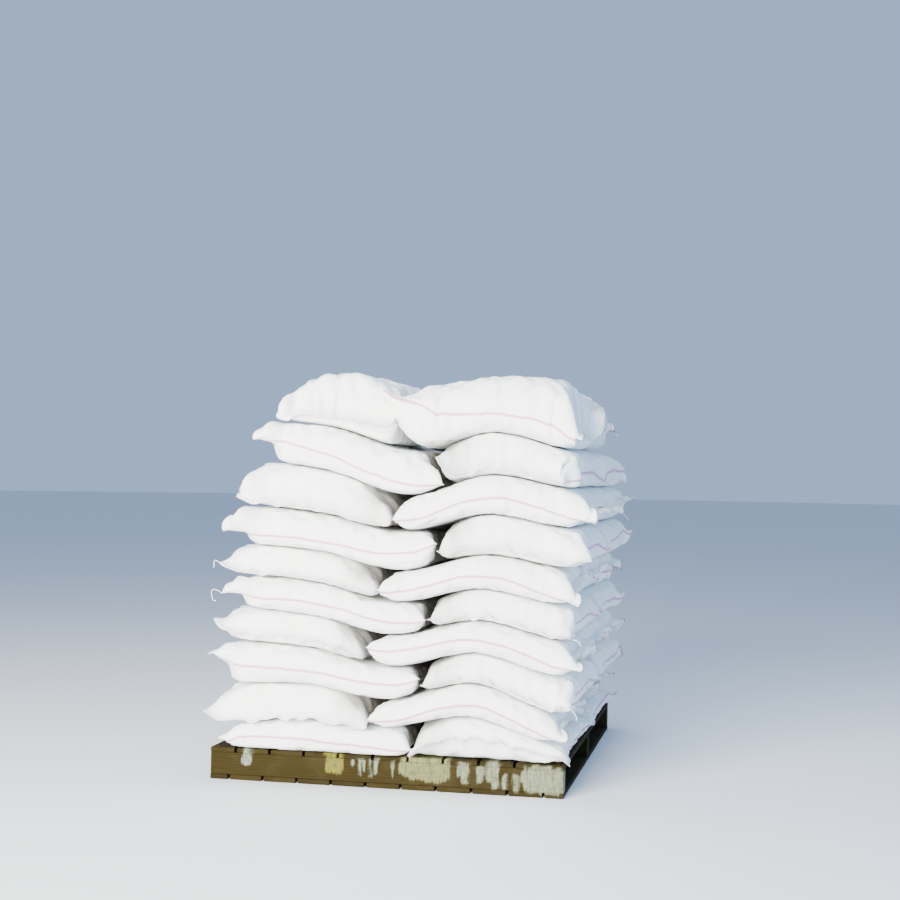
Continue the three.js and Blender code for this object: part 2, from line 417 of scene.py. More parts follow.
@dataclass(frozen=True)
class WovenPolypropylene:
    """White polypropylene tape cloth, woven flat and sewn into sacks.

    The flat tapes give the cloth a slight satin gloss and a fine square grain, the fold carries a thin pink
    marker stripe, and handling leaves faint grey streaks on it.
    """

    cloth: str = "#F2F5F3"
    shade: str = "#DDE3E2"
    dust: str = "#CFC8B8"
    # A dark brown painted shade for the deep joint between the two columns, which lies in shadow.
    painted_joint_shade: str = "#5E564A"
    stripe: str = "#C886B5"
    # The real tapes are 3 mm wide, which is under a pixel here, so they are drawn at 7 mm.
    tape: float = 0.007
    # The stripes lie just beside the side folds, which are 0.6 m and 1.2 m round the sack.
    stripe_half_width: float = 0.0050
    stripe_places: tuple[float, float] = (0.607, 1.193)
    # The lowest and the highest value of the tapes' streaks that shows.
    streak_range: tuple[float, float] = (0.7, 1.3)

    def make(self) -> bpy.types.Material:
        """Builds the material; its patterns follow the cloth's own flat coordinates in metres.

        Returns:
            The material.
        """
        material, tree, shader = new_material("woven_polypropylene")
        place = add_node(tree, "ShaderNodeUVMap", {"uv_map": "Places"}).outputs[0]
        along, round_sack = add_node(tree, "ShaderNodeSeparateXYZ", inputs={0: place}).outputs[:2]
        waves = []
        for number in (along, round_sack):
            waves.append(calculate(tree, "SINE", calculate(tree, "MULTIPLY", number, math.pi / self.tape)))
        weave = calculate(tree, "MULTIPLY", *waves)
        streaks = []
        for scale in ((1 / self.tape, 3.0, 1.0), (3.0, 1 / self.tape, 1.0)):
            stretched = stretch(tree, place, scale)
            streaks.append(noise(tree, stretched, 1.0, 1.0, settings={"noise_dimensions": "2D"}))
        linen = calculate(tree, "ADD", *streaks)
        colour = blend(tree, carry_over(tree, linen, self.streak_range, (0.0, 0.6)), self.cloth, self.shade)

        distances = []
        for middle in self.stripe_places:
            distances.append(calculate(tree, "ABSOLUTE", calculate(tree, "SUBTRACT", round_sack, middle)))
        nearest = calculate(tree, "MINIMUM", *distances)
        stripe_edge = (self.stripe_half_width * 0.7, self.stripe_half_width * 1.3)
        spots = noise(tree, place, 5.0, 6.0, 0.62, 0.6)
        hem_edge = read_attribute(tree, "hem_edge")
        # The share of the painted joint shade on each point, read from the mesh.
        settled = read_attribute(tree, "painted_joint_shade")
        # The cut edge of a hem is coloured near its corners, and painted shade darkens the cloth deep in
        # the joint between the columns, where the gap between them lies in shadow.
        covers = (
            (carry_over(tree, nearest, stripe_edge, (0.9, 0.0), smooth=True), self.stripe),
            (carry_over(tree, spots, (0.52, 0.8), (0.0, 0.35)), self.dust),
            (carry_over(tree, hem_edge, (0.45, 0.9), (0.0, 0.75)), self.stripe),
            (calculate(tree, "MULTIPLY", settled, 0.85, clamp=True), self.painted_joint_shade),
        )
        for share, tint in covers:
            colour = blend(tree, share, colour, tint)
        tree.links.new(colour, shader.inputs["Base Color"])

        # Fine folds of the loose cloth, some 30 to 60 mm from one to the next.
        folds = noise(tree, place, 9.0, 3.0, 0.5, 0.8, {"noise_type": "RIDGED_MULTIFRACTAL"})
        add_bumps(tree, shader, ((0.22, 0.004, folds), (0.35, 0.0012, linen), (0.5, 0.0008, weave)))
        roughness = carry_over(tree, linen, self.streak_range, (0.42, 0.58))
        tree.links.new(roughness, shader.inputs["Roughness"])
        shader.inputs["IOR"].default_value = 1.49
        shader.inputs["Sheen Weight"].default_value = 0.08
        shader.inputs["Sheen Roughness"].default_value = 0.4
        return material


@dataclass(frozen=True)
class SewingThread:
    """White spun polyester closing thread: matt, soft and slightly hairy, so it is white even in shade."""

    light: str = "#F4F1EE"
    dark: str = "#D9D2D0"
    twist: float = 0.002

    def make(self) -> bpy.types.Material:
        """Builds the material with a mottle of the pitch of the thread's twist.

        Returns:
            The material.
        """
        material, tree, shader = new_material("spun_polyester_thread")
        place = add_node(tree, "ShaderNodeTexCoord").outputs["Object"]
        mottle = noise(tree, place, 1 / self.twist, 2.0)
        tree.links.new(blend(tree, mottle, self.light, self.dark), shader.inputs["Base Color"])
        add_bumps(tree, shader, ((0.4, 0.0004, mottle),))
        shader.inputs["Roughness"].default_value = 0.85
        shader.inputs["IOR"].default_value = 1.54
        return material


@dataclass(frozen=True)
class WeatheredSoftwood:
    """Rough sawn pine of a used pallet, weathered to brown and ochre.

    Dark and light growth rings show as long streaks on the faces and as arcs on the end grain, saw marks
    cross them, and the front carries pale worn patches and runs of dried white powder.
    """

    dark: str = "#181303"
    light: str = "#322909"
    grey: str = "#36311E"
    worn: str = "#6A6827"
    run: str = "#7B8372"
    # Growth rings are 2 to 4 mm wide; they are drawn at 9 mm so that they show.
    ring: float = 0.009
    fibre: float = 0.003
    saw_mark: float = 0.008
    # The worn patches are broken up by streaks down the front and by specks.
    streak_width: float = 0.006
    streak_length: float = 0.05
    speck: float = 0.012

    def make(self) -> bpy.types.Material:
        """Builds the material on each board's own coordinates: across, along and through it, in metres.

        Returns:
            The material.
        """
        material, tree, shader = new_material("weathered_softwood")
        grain = read_attribute(tree, "grain_place", "Vector")
        worn = read_attribute(tree, "worn_patch")
        rings = add_node(
            tree,
            "ShaderNodeTexWave",
            {"wave_type": "RINGS", "rings_direction": "Y", "wave_profile": "SIN"},
            {
                "Vector": stretch(tree, grain, (1.0, 0.07, 1.0)),
                "Scale": wave_scale(self.ring),
                "Distortion": 9.0,
                "Detail": 3.0,
                "Detail Scale": 0.3,
                "Detail Roughness": 0.55,
            },
        )
        ring_share = carry_over(tree, rings.outputs[1], (0.1, 0.95), (0.1, 0.8))
        fibres = noise(tree, stretch(tree, grain, (1.0, 0.03, 1.0)), 1 / self.fibre, 3.0, 0.6)
        both = {0: 0.72, 2: ring_share, 3: fibres}
        streaks = add_node(tree, "ShaderNodeMix", {"data_type": "FLOAT"}, both).outputs[0]
        toned = calculate(tree, "ADD", streaks, read_attribute(tree, "board_tone"))
        blotches = carry_over(tree, noise(tree, grain, 7.0, 4.0, 0.6), (0.5, 0.75), (0.0, 0.55))
        bare = blend(tree, blotches, blend(tree, toned, self.dark, self.light), self.grey)

        place = add_node(tree, "ShaderNodeTexCoord").outputs["Object"]
        down = stretch(tree, place, (1 / self.streak_width, 20.0, 1 / self.streak_length))
        specks = noise(tree, place, 1 / self.speck, 5.0, 0.7)
        wear = calculate(tree, "ADD", noise(tree, down, 1.0, 3.0, 0.6), specks)
        broken = calculate(tree, "MULTIPLY_ADD", wear, -1.8, worn)
        cover = calculate(tree, "MULTIPLY", carry_over(tree, broken, (-1.75, -0.25), smooth=True), worn)
        mottle = calculate(tree, "MULTIPLY_ADD", specks, 1.6, -0.8, clamp=True)
        greyness = calculate(tree, "ADD", mottle, read_attribute(tree, "patch_grey"), clamp=True)
        colour = blend(tree, cover, bare, blend(tree, greyness, self.worn, self.run))
        tree.links.new(colour, shader.inputs["Base Color"])

        saw = add_node(
            tree,
            "ShaderNodeTexWave",
            {"wave_type": "BANDS", "bands_direction": "Y"},
            {
                "Vector": grain,
                "Scale": wave_scale(self.saw_mark),
                "Distortion": 1.5,
                "Detail": 1.0,
                "Detail Scale": 0.2,
            },
        )
        relief = calculate(tree, "ADD", fibres, ring_share)
        add_bumps(tree, shader, ((0.55, 0.0015, relief), (0.2, 0.0006, saw.outputs[1])))
        shader.inputs["Roughness"].default_value = 0.85
        shader.inputs["IOR"].default_value = 1.45
        shader.inputs["Specular IOR Level"].default_value = 0.15
        return material


@dataclass(frozen=True)
class RustedNailSteel:
    """Flat heads of plain wire nails, dulled by rust, which gives them a dark brown matt face."""

    steel: str = "#5A5048"
    rust: str = "#6E3B1E"

    def make(self) -> bpy.types.Material:
        """Builds the material with rust spots of about 2 mm.

        Returns:
            The material.
        """
        material, tree, shader = new_material("rusted_nail_steel")
        place = add_node(tree, "ShaderNodeTexCoord").outputs["Object"]
        spots = noise(tree, place, 450.0, 3.0)
        tree.links.new(blend(tree, spots, self.steel, self.rust), shader.inputs["Base Color"])
        shader.inputs["Metallic"].default_value = 0.4
        shader.inputs["Roughness"].default_value = 0.7
        return material


@dataclass(frozen=True)
class PaleFloorPaint:
    """Matt pale grey floor paint, which shows soft contact shadows and no glare."""

    paint: str = "#DDE0E2"

    def make(self) -> bpy.types.Material:
        """Builds the material with a very faint roller mottle of 20 mm.

        Returns:
            The material.
        """
        material, tree, shader = new_material("matt_floor_paint")
        place = add_node(tree, "ShaderNodeTexCoord").outputs["Object"]
        add_bumps(tree, shader, ((0.05, 0.001, noise(tree, place, 50.0, 2.0)),))
        shader.inputs["Base Color"].default_value = linear_colour(self.paint)
        shader.inputs["Roughness"].default_value = 0.9
        return material


@dataclass
class Finishes:
    """The finished materials, each made once."""

    cloth: bpy.types.Material = field(default_factory=lambda: WovenPolypropylene().make())
    thread: bpy.types.Material = field(default_factory=lambda: SewingThread().make())
    wood: bpy.types.Material = field(default_factory=lambda: WeatheredSoftwood().make())
    nail: bpy.types.Material = field(default_factory=lambda: RustedNailSteel().make())


# Studio


def placed(right: Array, up: Array, back: Array, place: Array) -> Matrix:
    """The matrix of a camera or a light by the directions of its three axes and its place.

    Args:
        right: the direction of its x axis.
        up: that of its y axis.
        back: that of its z axis, which points away from what it looks at.
        place: where it stands.

    Returns:
        The matrix.
    """
    matrix = Matrix.Identity(4)
    for row in range(3):
        for column, values in enumerate((right, up, back, place)):
            matrix[row][column] = values[row]
    return matrix


@dataclass
class Studio:
    """The camera at the photograph's viewing angle, a pale floor and soft light."""

    eye: tuple[float, float, float] = (1.382, -5.577, 1.218)
    yaw: float = math.radians(9.775)
    pitch: float = math.radians(-1.021)
    roll: float = math.radians(0.985)
    # The photograph is 900 pixels wide, and its focal length is 1312 of them.
    lens: float = 1312 / 900 * 36
    # The photograph is a cutting of a wider one, so its middle lies 90 pixels left of the lens's axis.
    shift: float = -90 / 900
    floor_radius: float = 60.0
    floor_corners: int = 64
    # The middle of the stack, which the lights look at.
    aim: tuple[float, float, float] = (0.0, 0.0, 0.8)

    def camera_axes(self) -> Array:
        """The camera's right, down and forward directions, one a row.

        They start at +X, -Z and +Y, turn by the yaw about Z, then tip about the camera's right axis and
        last roll about its forward axis.

        Returns:
            The three directions.
        """
        base = np.array([[1.0, 0, 0], [0, 0, -1.0], [0, 1.0, 0]])
        cy, sy = math.cos(self.yaw), math.sin(self.yaw)
        cp, sp = math.cos(self.pitch), math.sin(self.pitch)
        cr, sr = math.cos(self.roll), math.sin(self.roll)
        turn = np.array([[cy, -sy, 0], [sy, cy, 0], [0, 0, 1]])
        tip = np.array([[1, 0, 0], [0, cp, -sp], [0, sp, cp]])
        spin = np.array([[cr, -sr, 0], [sr, cr, 0], [0, 0, 1]])
        return spin @ tip @ base @ turn.T

    def set_camera(self) -> None:
        """Places the camera."""
        right, down, forward = self.camera_axes()
        data = bpy.data.cameras.new("camera")
        data.sensor_width = 36.0
        data.lens = self.lens
        data.shift_x = self.shift
        data.clip_end = 500.0
        camera = bpy.data.objects.new("camera", data)
        camera.matrix_world = placed(right, -down, -forward, self.eye)
        bpy.context.scene.collection.objects.link(camera)
        bpy.context.scene.camera = camera

    def lay_floor(self) -> None:
        """Makes the floor, a flat ring of quads 0.5 mm under the pallet, which hides the ring's hole."""
        turns = np.linspace(0, 2 * math.pi, self.floor_corners + 1)
        radii = np.array([0.01, self.floor_radius])[:, None]
        level = np.full((2, len(turns)), -0.0005)
        points = np.stack([radii * np.cos(turns), radii * np.sin(turns), level], -1)
        quads = grid_quads(np.arange(level.size).reshape(level.shape))
        parts = MeshParts()
        parts.add(points.reshape(-1, 3), quads)
        floor = parts.to_object("studio_floor", [PaleFloorPaint().make()])

    def hang_light(
        self, name: str, place: tuple[float, float, float], size: float, power: float, tint: str
    ) -> None:
        """Hangs one square soft light that looks at the middle of the stack.

        Args:
            name: the light's name.
            place: where it hangs.
            size: the length of its side.
            power: its power in watts.
            tint: its colour.
        """
        data = bpy.data.lights.new(name, "AREA")
        data.shape = "SQUARE"
        data.size = size
        data.energy = power
        data.color = linear_colour(tint)[:3]
        light = bpy.data.objects.new(name, data)
        away = np.array(place) - np.array(self.aim)
        away /= np.linalg.norm(away)
        side = np.cross(UP, away)
        side /= np.linalg.norm(side)
        light.matrix_world = placed(side, np.cross(away, side), away, place)
        bpy.context.scene.collection.objects.link(light)

    def light(self) -> None:
        """Lights the stack from the front left, with weak cool light from all round for the shaded side."""
        self.hang_light("key_light", (-1.6, -6.4, 2.2), 4.6, 2400.0, "#FFF9EE")
        self.hang_light("fill_light", (4.2, -2.5, 2.2), 3.0, 150.0, "#A2CEFF")
        self.hang_light("top_light", (0.0, 1.0, 4.6), 3.0, 90.0, "#EEF6FF")
        world = bpy.data.worlds.new("soft_surround")
        world.use_nodes = True
        background = world.node_tree.nodes["Background"]
        background.inputs["Color"].default_value = linear_colour("#A8C4EC")
        background.inputs["Strength"].default_value = 1.0
        bpy.context.scene.world = world

    def build(self) -> None:
        """Sets up camera, floor and light."""
        self.set_camera()
        self.lay_floor()
        self.light()


# Sacks


class Lie(Enum):
    """Which way a sack lies on the pallet."""

    LENGTHWISE = "along X"
    END_ON = "along Y"


class Column(Enum):
    """The side of the stack that a sack belongs to."""

    LEFT = "left"
    RIGHT = "right"


@dataclass(frozen=True)
class StackProfile:
    """The heights of the surfaces between the layers of the leaning stack."""

    pallet_middle: float
    deck_top: float
    lean: float = math.tan(math.radians(4))
    half_width: float = 0.65
    # The top of each layer over the deck at the left end, left middle, joint, right middle and right end.
    crests: tuple[tuple[float, ...], ...] = (
        (0.095, 0.124, 0.108, 0.160, 0.078),
        (0.250, 0.258, 0.212, 0.288, 0.188),
        (0.415, 0.397, 0.338, 0.403, 0.328),
        (0.550, 0.524, 0.462, 0.528, 0.462),
        (0.678, 0.654, 0.588, 0.648, 0.595),
        (0.797, 0.776, 0.710, 0.778, 0.735),
        (0.950, 0.922, 0.862, 0.933, 0.885),
        (1.125, 1.092, 1.002, 1.084, 1.035),
        (1.280, 1.262, 1.175, 1.248, 1.175),
        (1.400, 1.478, 1.425, 1.464, 1.452),
    )

    def height(self, layer: int, x: Array) -> Array:
        """The height of a layer's top surface, a smooth cubic through its five crest heights.

        Args:
            layer: the layer, from 1 at the pallet. Layer 0 is the flat deck.
            x: places along the pallet.

        Returns:
            The height at each place.
        """
        if layer == 0:
            return np.full_like(x, self.deck_top)
        crest = np.array(self.crests[layer - 1])
        place = (x - self.pallet_middle - self.lean * crest[2]) / self.half_width
        step = np.clip((place + 1) * 2, 0, 4)
        cell = np.minimum(np.floor(step), 3).astype(int)
        t = step - cell
        before = crest[np.clip(cell - 1, 0, 4)]
        here = crest[cell]
        after = crest[cell + 1]
        beyond = crest[np.clip(cell + 2, 0, 4)]
        start_slope = (after - before) / 2
        end_slope = (beyond - here) / 2
        cubic = (2 * t**3 - 3 * t**2 + 1) * here + (t**3 - 2 * t**2 + t) * start_slope
        cubic += (3 * t**2 - 2 * t**3) * after + (t**3 - t**2) * end_slope
        return self.deck_top + cubic


@dataclass(frozen=True)
class SackForm:
    """The shape of one filled bag, with its length along x, its two sheets and their measures."""

    upper: Array
    lower: Array
    flat_u: Array
    flat_v: Array

    def reach(self) -> float:
        """Half the length from corner to corner."""
        return float(np.abs(self.upper[..., 0]).max())

    def row_half(self) -> Array:
        """Half the width of each row of points, from the one side fold to the other."""
        return np.abs(self.upper[:, (0, -1), 1]).mean(1)

    def relative_height(self, sheet: Array) -> Array:
        """The height of a sheet's points, from 0 at the bag's underside to 1 at its top.

        Args:
            sheet: the points.

        Returns:
            The height of each.
        """
        low = float(self.lower[..., 2].min())
        high = float(self.upper[..., 2].max())
        return np.clip((sheet[..., 2] - low) / (high - low), 0.0, 1.0)


@dataclass
class FilledBag:
    """A flat bag of woven cloth that a cloth simulation fills between an upper and a lower board."""

    seed: int
    low_board: float = -0.072
    high_board: float = 0.072
    board_thickness: float = 0.06
    pressure: float = 9.0
    bending: float = 0.7
    cells_along: int = 64
    cells_across: int = 44
    frames: int = 30

    def start_sheets(self) -> tuple[Array, Array, Array, Array]:
        """The two sheets before they are filled.

        Each is a flat rectangle lifted by a low dome, sqrt((1 - u^4)(1 - v^4)), with a smoothed random
        ripple on it that lets wrinkles start at different places in each bag.

        Returns:
            The grid places u and v from -1 to 1, and the upper and the lower sheet's points.
        """
        rng = np.random.default_rng(self.seed)
        steps = (np.linspace(-1, 1, cells + 1) for cells in (self.cells_along, self.cells_across))
        u, v = np.meshgrid(*steps, indexing="ij")
        dome = np.sqrt(np.clip((1 - u**4) * (1 - v**4), 0, 1))
        flat = np.stack([u * HALF_LENGTH, v * HALF_WIDTH], -1)
        lift, ripple_height = 0.016, 0.007
        sheets = []
        for side in (1, -1):
            ripple = plane_waves(flat, rng, (0.05, 0.12), 14)
            height = side * dome * (lift + ripple_height * ripple)
            sheets.append(np.concatenate([flat, height[..., None]], -1))
        return u, v, sheets[0], sheets[1]

    def board(self, name: str, low: float, high: float) -> bpy.types.Object:
        """One of the two boards that the filled bag presses against, as a collider.

        Args:
            name: the board's name.
            low: the height of its underside.
            high: the height of its top.

        Returns:
            The board, a box that reaches 0.8 m from its middle along both axes.
        """
        half = 0.8
        square = ((-half, -half), (half, -half), (half, half), (-half, half))
        corners = [(x, y, z) for z in (low, high) for x, y in square]
        faces = [(3, 2, 1, 0), (4, 5, 6, 7), (0, 1, 5, 4), (1, 2, 6, 5), (2, 3, 7, 6), (3, 0, 4, 7)]
        mesh = bpy.data.meshes.new(name)
        mesh.from_pydata(corners, [], faces)
        board = bpy.data.objects.new(name, mesh)
        bpy.context.scene.collection.objects.link(board)
        board.modifiers.new("Collision", "COLLISION")
        board.collision.thickness_outer = 0.002
        board.collision.cloth_friction = 2.0
        return board

    def add_cloth(self, bag: bpy.types.Object) -> None:
        """Gives the bag a stiff thin cloth with pressure inside and no weight.

        Args:
            bag: the bag's mesh.
        """
        modifier = bag.modifiers.new("Cloth", "CLOTH")
        cloth = modifier.settings
        cloth.quality = 7
        cloth.mass = 0.05
        cloth.tension_stiffness = 90
        cloth.compression_stiffness = 60
        cloth.shear_stiffness = 8
        cloth.bending_stiffness = self.bending
        cloth.tension_damping = 10
        cloth.compression_damping = 10
        cloth.shear_damping = 5
        cloth.air_damping = 2
        cloth.use_pressure = True
        cloth.uniform_pressure_force = self.pressure
        cloth.effector_weights.gravity = 0
        modifier.collision_settings.use_collision = True
        modifier.collision_settings.distance_min = 0.002
        modifier.collision_settings.use_self_collision = False
        modifier.point_cache.frame_start = 1
        modifier.point_cache.frame_end = self.frames

    def fill(self) -> SackForm:
        """Runs the simulation and reads the filled bag.

        Returns:
            The form.
        """
        u, v, upper, lower = self.start_sheets()
        points, above, below = closed_pair(upper, lower)
        parts = MeshParts()
        parts.add(points, np.concatenate([above, below]))
        bag = parts.to_object("bag_form", [])
        boards = [
            self.board("low_board", self.low_board - self.board_thickness, self.low_board),
            self.board("high_board", self.high_board, self.high_board + self.board_thickness),
        ]
        self.add_cloth(bag)
        scene = bpy.context.scene
        for frame in range(1, self.frames + 1):
            scene.frame_set(frame)
        filled = bag.evaluated_get(bpy.context.evaluated_depsgraph_get()).data
        settled = np.empty(len(filled.vertices) * 3, np.float32)
        filled.vertices.foreach_get("co", settled)
        settled = settled.reshape(-1, 3).astype(float)
        for helper in (bag, *boards):
            bpy.data.objects.remove(helper)
        scene.frame_set(1)
        rows, columns = u.shape
        upper = settled[: rows * columns].reshape(rows, columns, 3)
        lower = upper.copy()
        lower[1:-1, 1:-1] = settled[rows * columns :].reshape(rows - 2, columns - 2, 3)
        LOG.info("filled bag %d: %s to %s", self.seed, settled.min(0).round(3), settled.max(0).round(3))
        return SackForm(upper, lower, u, v)


@dataclass(frozen=True)
class SackCorner:
    """One corner of a sack, where the cloth ends in a flat ear.

    Its height goes from 0 at the sack's underside to 1 at its top. Its reach says how far the ear is pulled
    away from the stack's middle, along X. The pinch is above 1 for a flat ear and below 1 for a full one.
    The turn, in degrees, says how far the ear's cloth is turned up about X from lying flat. The size is the
    ear's radius.
    """

    height: float
    reach: float = 0.0
    pinch: float = 1.2
    turn: float = 0.0
    size: float = 0.075


@dataclass(frozen=True)
class SackEnd:
    """One sewn end of a sack: its seam's height in the middle, its two corners and the body beside it.

    The near corner is the front one of a sack that lies lengthwise, and the left one of a sack that lies
    end-on. The lower the body number is, the more upright the end stands. The fold is the height of the
    side folds, and the joint that of the fold next to the other column. The shoulder is the body number of
    the upper edge next to the other column.
    """

    middle: float
    near: SackCorner
    far: SackCorner
    body: float = 0.26
    fold: float = 0.5
    joint: float = 0.38
    shoulder: float = 0.55


INNER_END = SackEnd(0.3, SackCorner(0.3, 0.0, 0.5), SackCorner(0.3, 0.0, 0.5), 0.24)
LOW_INNER_END = SackEnd(0.12, SackCorner(0.12, 0.03, 0.7), SackCorner(0.3, 0.0, 0.5), 0.24, shoulder=1.1)
TOP_INNER_END = SackEnd(0.6, SackCorner(0.9, 0.05, 1.0), SackCorner(0.6, 0.0, 0.6), 0.4)


# Ends that the photograph shows, each with its seam's middle, its two corners and its body's numbers.
SEEN_ENDS = {
    "sack_01_left_front": SackEnd(
        0.4, SackCorner(0.02, 0.004, 0.5, size=0.045), SackCorner(0.5, 0.0, 0.2), 0.08, fold=0.45
    ),
    "sack_02_left_front": SackEnd(
        0.10, SackCorner(0.38, 0.022, 0.9, size=0.11), SackCorner(0.2, 0.0, 0.4), 0.36, shoulder=0.75
    ),
    "sack_03_left_front": SackEnd(0.6, SackCorner(0.76, 0.008, 0.9, 50), SackCorner(0.5), fold=0.48),
    "sack_04_left_front": SackEnd(
        0.35, SackCorner(0.82, 0.0, 0.75), SackCorner(0.2, 0.0, 0.5), 0.36, shoulder=1.1
    ),
    "sack_05_left_front": SackEnd(0.5, SackCorner(0.46, 0.006, 0.9, 60, 0.07), SackCorner(0.6), fold=0.5),
    "sack_06_left_front": SackEnd(
        0.15, SackCorner(0.46, 0.002, 0.7), SackCorner(0.3, -0.004, 0.4), shoulder=0.9
    ),
    "sack_07_left_front": SackEnd(0.5, SackCorner(0.36, 0.010, 0.8, 75, 0.08), SackCorner(0.4), fold=0.34),
    "sack_08_left_front": SackEnd(
        0.1, SackCorner(0.34, 0.010, 0.8, 60, 0.055), SackCorner(0.35, -0.006, 0.4), shoulder=1.0
    ),
    "sack_09_left_front": SackEnd(0.5, SackCorner(0.36, 0.010, 0.8, 75), SackCorner(0.5), fold=0.33),
    "sack_10_left_front": SackEnd(0.1, SackCorner(0.26, 0.008, 0.75, 60, 0.05), SackCorner(0.3, 0.0, 0.5)),
    "sack_01_right_front": SackEnd(
        0.62, SackCorner(0.05, 0.0, 0.2), SackCorner(0.2, 0.010, 1.0), 0.38, shoulder=0.3
    ),
    "sack_02_right_front": SackEnd(0.45, SackCorner(0.10, 0.010, 0.9), SackCorner(0.6)),
    "sack_03_right_front": SackEnd(
        0.2, SackCorner(0.36, 0.0, 0.12), SackCorner(0.3, -0.030, 0.7), joint=0.42, shoulder=0.2
    ),
    "sack_04_right_front": SackEnd(0.5, SackCorner(0.25, 0.012, 0.8), SackCorner(0.7)),
    "sack_05_right_front": SackEnd(
        0.2, SackCorner(0.40, 0.0, 0.12), SackCorner(0.15, -0.030, 0.8), joint=0.42, shoulder=0.2
    ),
    "sack_06_right_front": SackEnd(0.4, SackCorner(0.05, 0.016, 0.6), SackCorner(0.6)),
    "sack_07_right_front": SackEnd(
        0.2, SackCorner(0.38, 0.0, 0.12), SackCorner(0.3, 0.010, 0.8), joint=0.42, shoulder=0.2
    ),
    "sack_08_right_front": SackEnd(0.6, SackCorner(0.10, 0.030, 0.6), SackCorner(0.6)),
    "sack_09_right_front": SackEnd(
        0.15, SackCorner(0.85, 0.0, 0.2), SackCorner(0.15, -0.070, 0.5), joint=0.85, shoulder=0.3
    ),
    "sack_10_right_front": SackEnd(0.16, SackCorner(0.03, 0.0, 0.6), SackCorner(0.70, 0.01, 1.0)),
    "sack_10_right_middle": SackEnd(0.4, SackCorner(0.35, 0.0, 0.7, 40, 0.05), SackCorner(0.5, 0.0, 0.7)),
    "sack_10_right_back": SackEnd(0.4, SackCorner(0.5, 0.0, 0.7), SackCorner(0.35, 0.0, 0.7, 40, 0.05)),
}
SEEN_INNER_ENDS = {"sack_09_left_front": LOW_INNER_END}

# The top sacks behind the front one stand back at the right, where the photograph doesn't show them.
SET_BACK = {"sack_10_right_middle": 0.045, "sack_10_right_back": 0.060}


@dataclass(frozen=True)
class ThreadTail:
    """A loose end of closing thread at a corner of a sack's hem: places outwards and upwards from there."""

    places: tuple[tuple[float, float], ...]


# Tails that the photograph shows on the front sacks, at their corner on the outer side.
SEEN_TAILS = {
    "sack_03_left_front": ThreadTail(((0.0, 0.0), (0.02, -0.012), (0.045, -0.014), (0.062, -0.006))),
    "sack_03_right_front": ThreadTail(((0.0, 0.0), (0.012, -0.012), (0.024, -0.024), (0.020, -0.040))),
    "sack_05_left_front": ThreadTail(
        (
            (0.0, 0.0),
            (0.02, 0.012),
            (0.040, 0.016),
            (0.046, 0.004),
            (0.042, -0.014),
            (0.038, -0.030),
            (0.024, -0.028),
        )
    ),
    "sack_05_right_front": ThreadTail(((0.0, 0.0), (0.02, 0.0), (0.034, -0.008), (0.036, -0.02))),
    "sack_06_left_front": ThreadTail(
        ((0.0, 0.0), (0.010, 0.008), (0.018, 0.004), (0.018, -0.014), (0.020, -0.024))
    ),
    "sack_09_left_front": ThreadTail(
        ((0.0, 0.0), (0.02, -0.006), (0.036, -0.010), (0.048, 0.004), (0.056, 0.002))
    ),
    "sack_10_right_front": ThreadTail(
        ((0.0, 0.0), (0.014, -0.030), (0.032, -0.040), (0.040, -0.028), (0.046, -0.050), (0.040, -0.080))
    ),
}


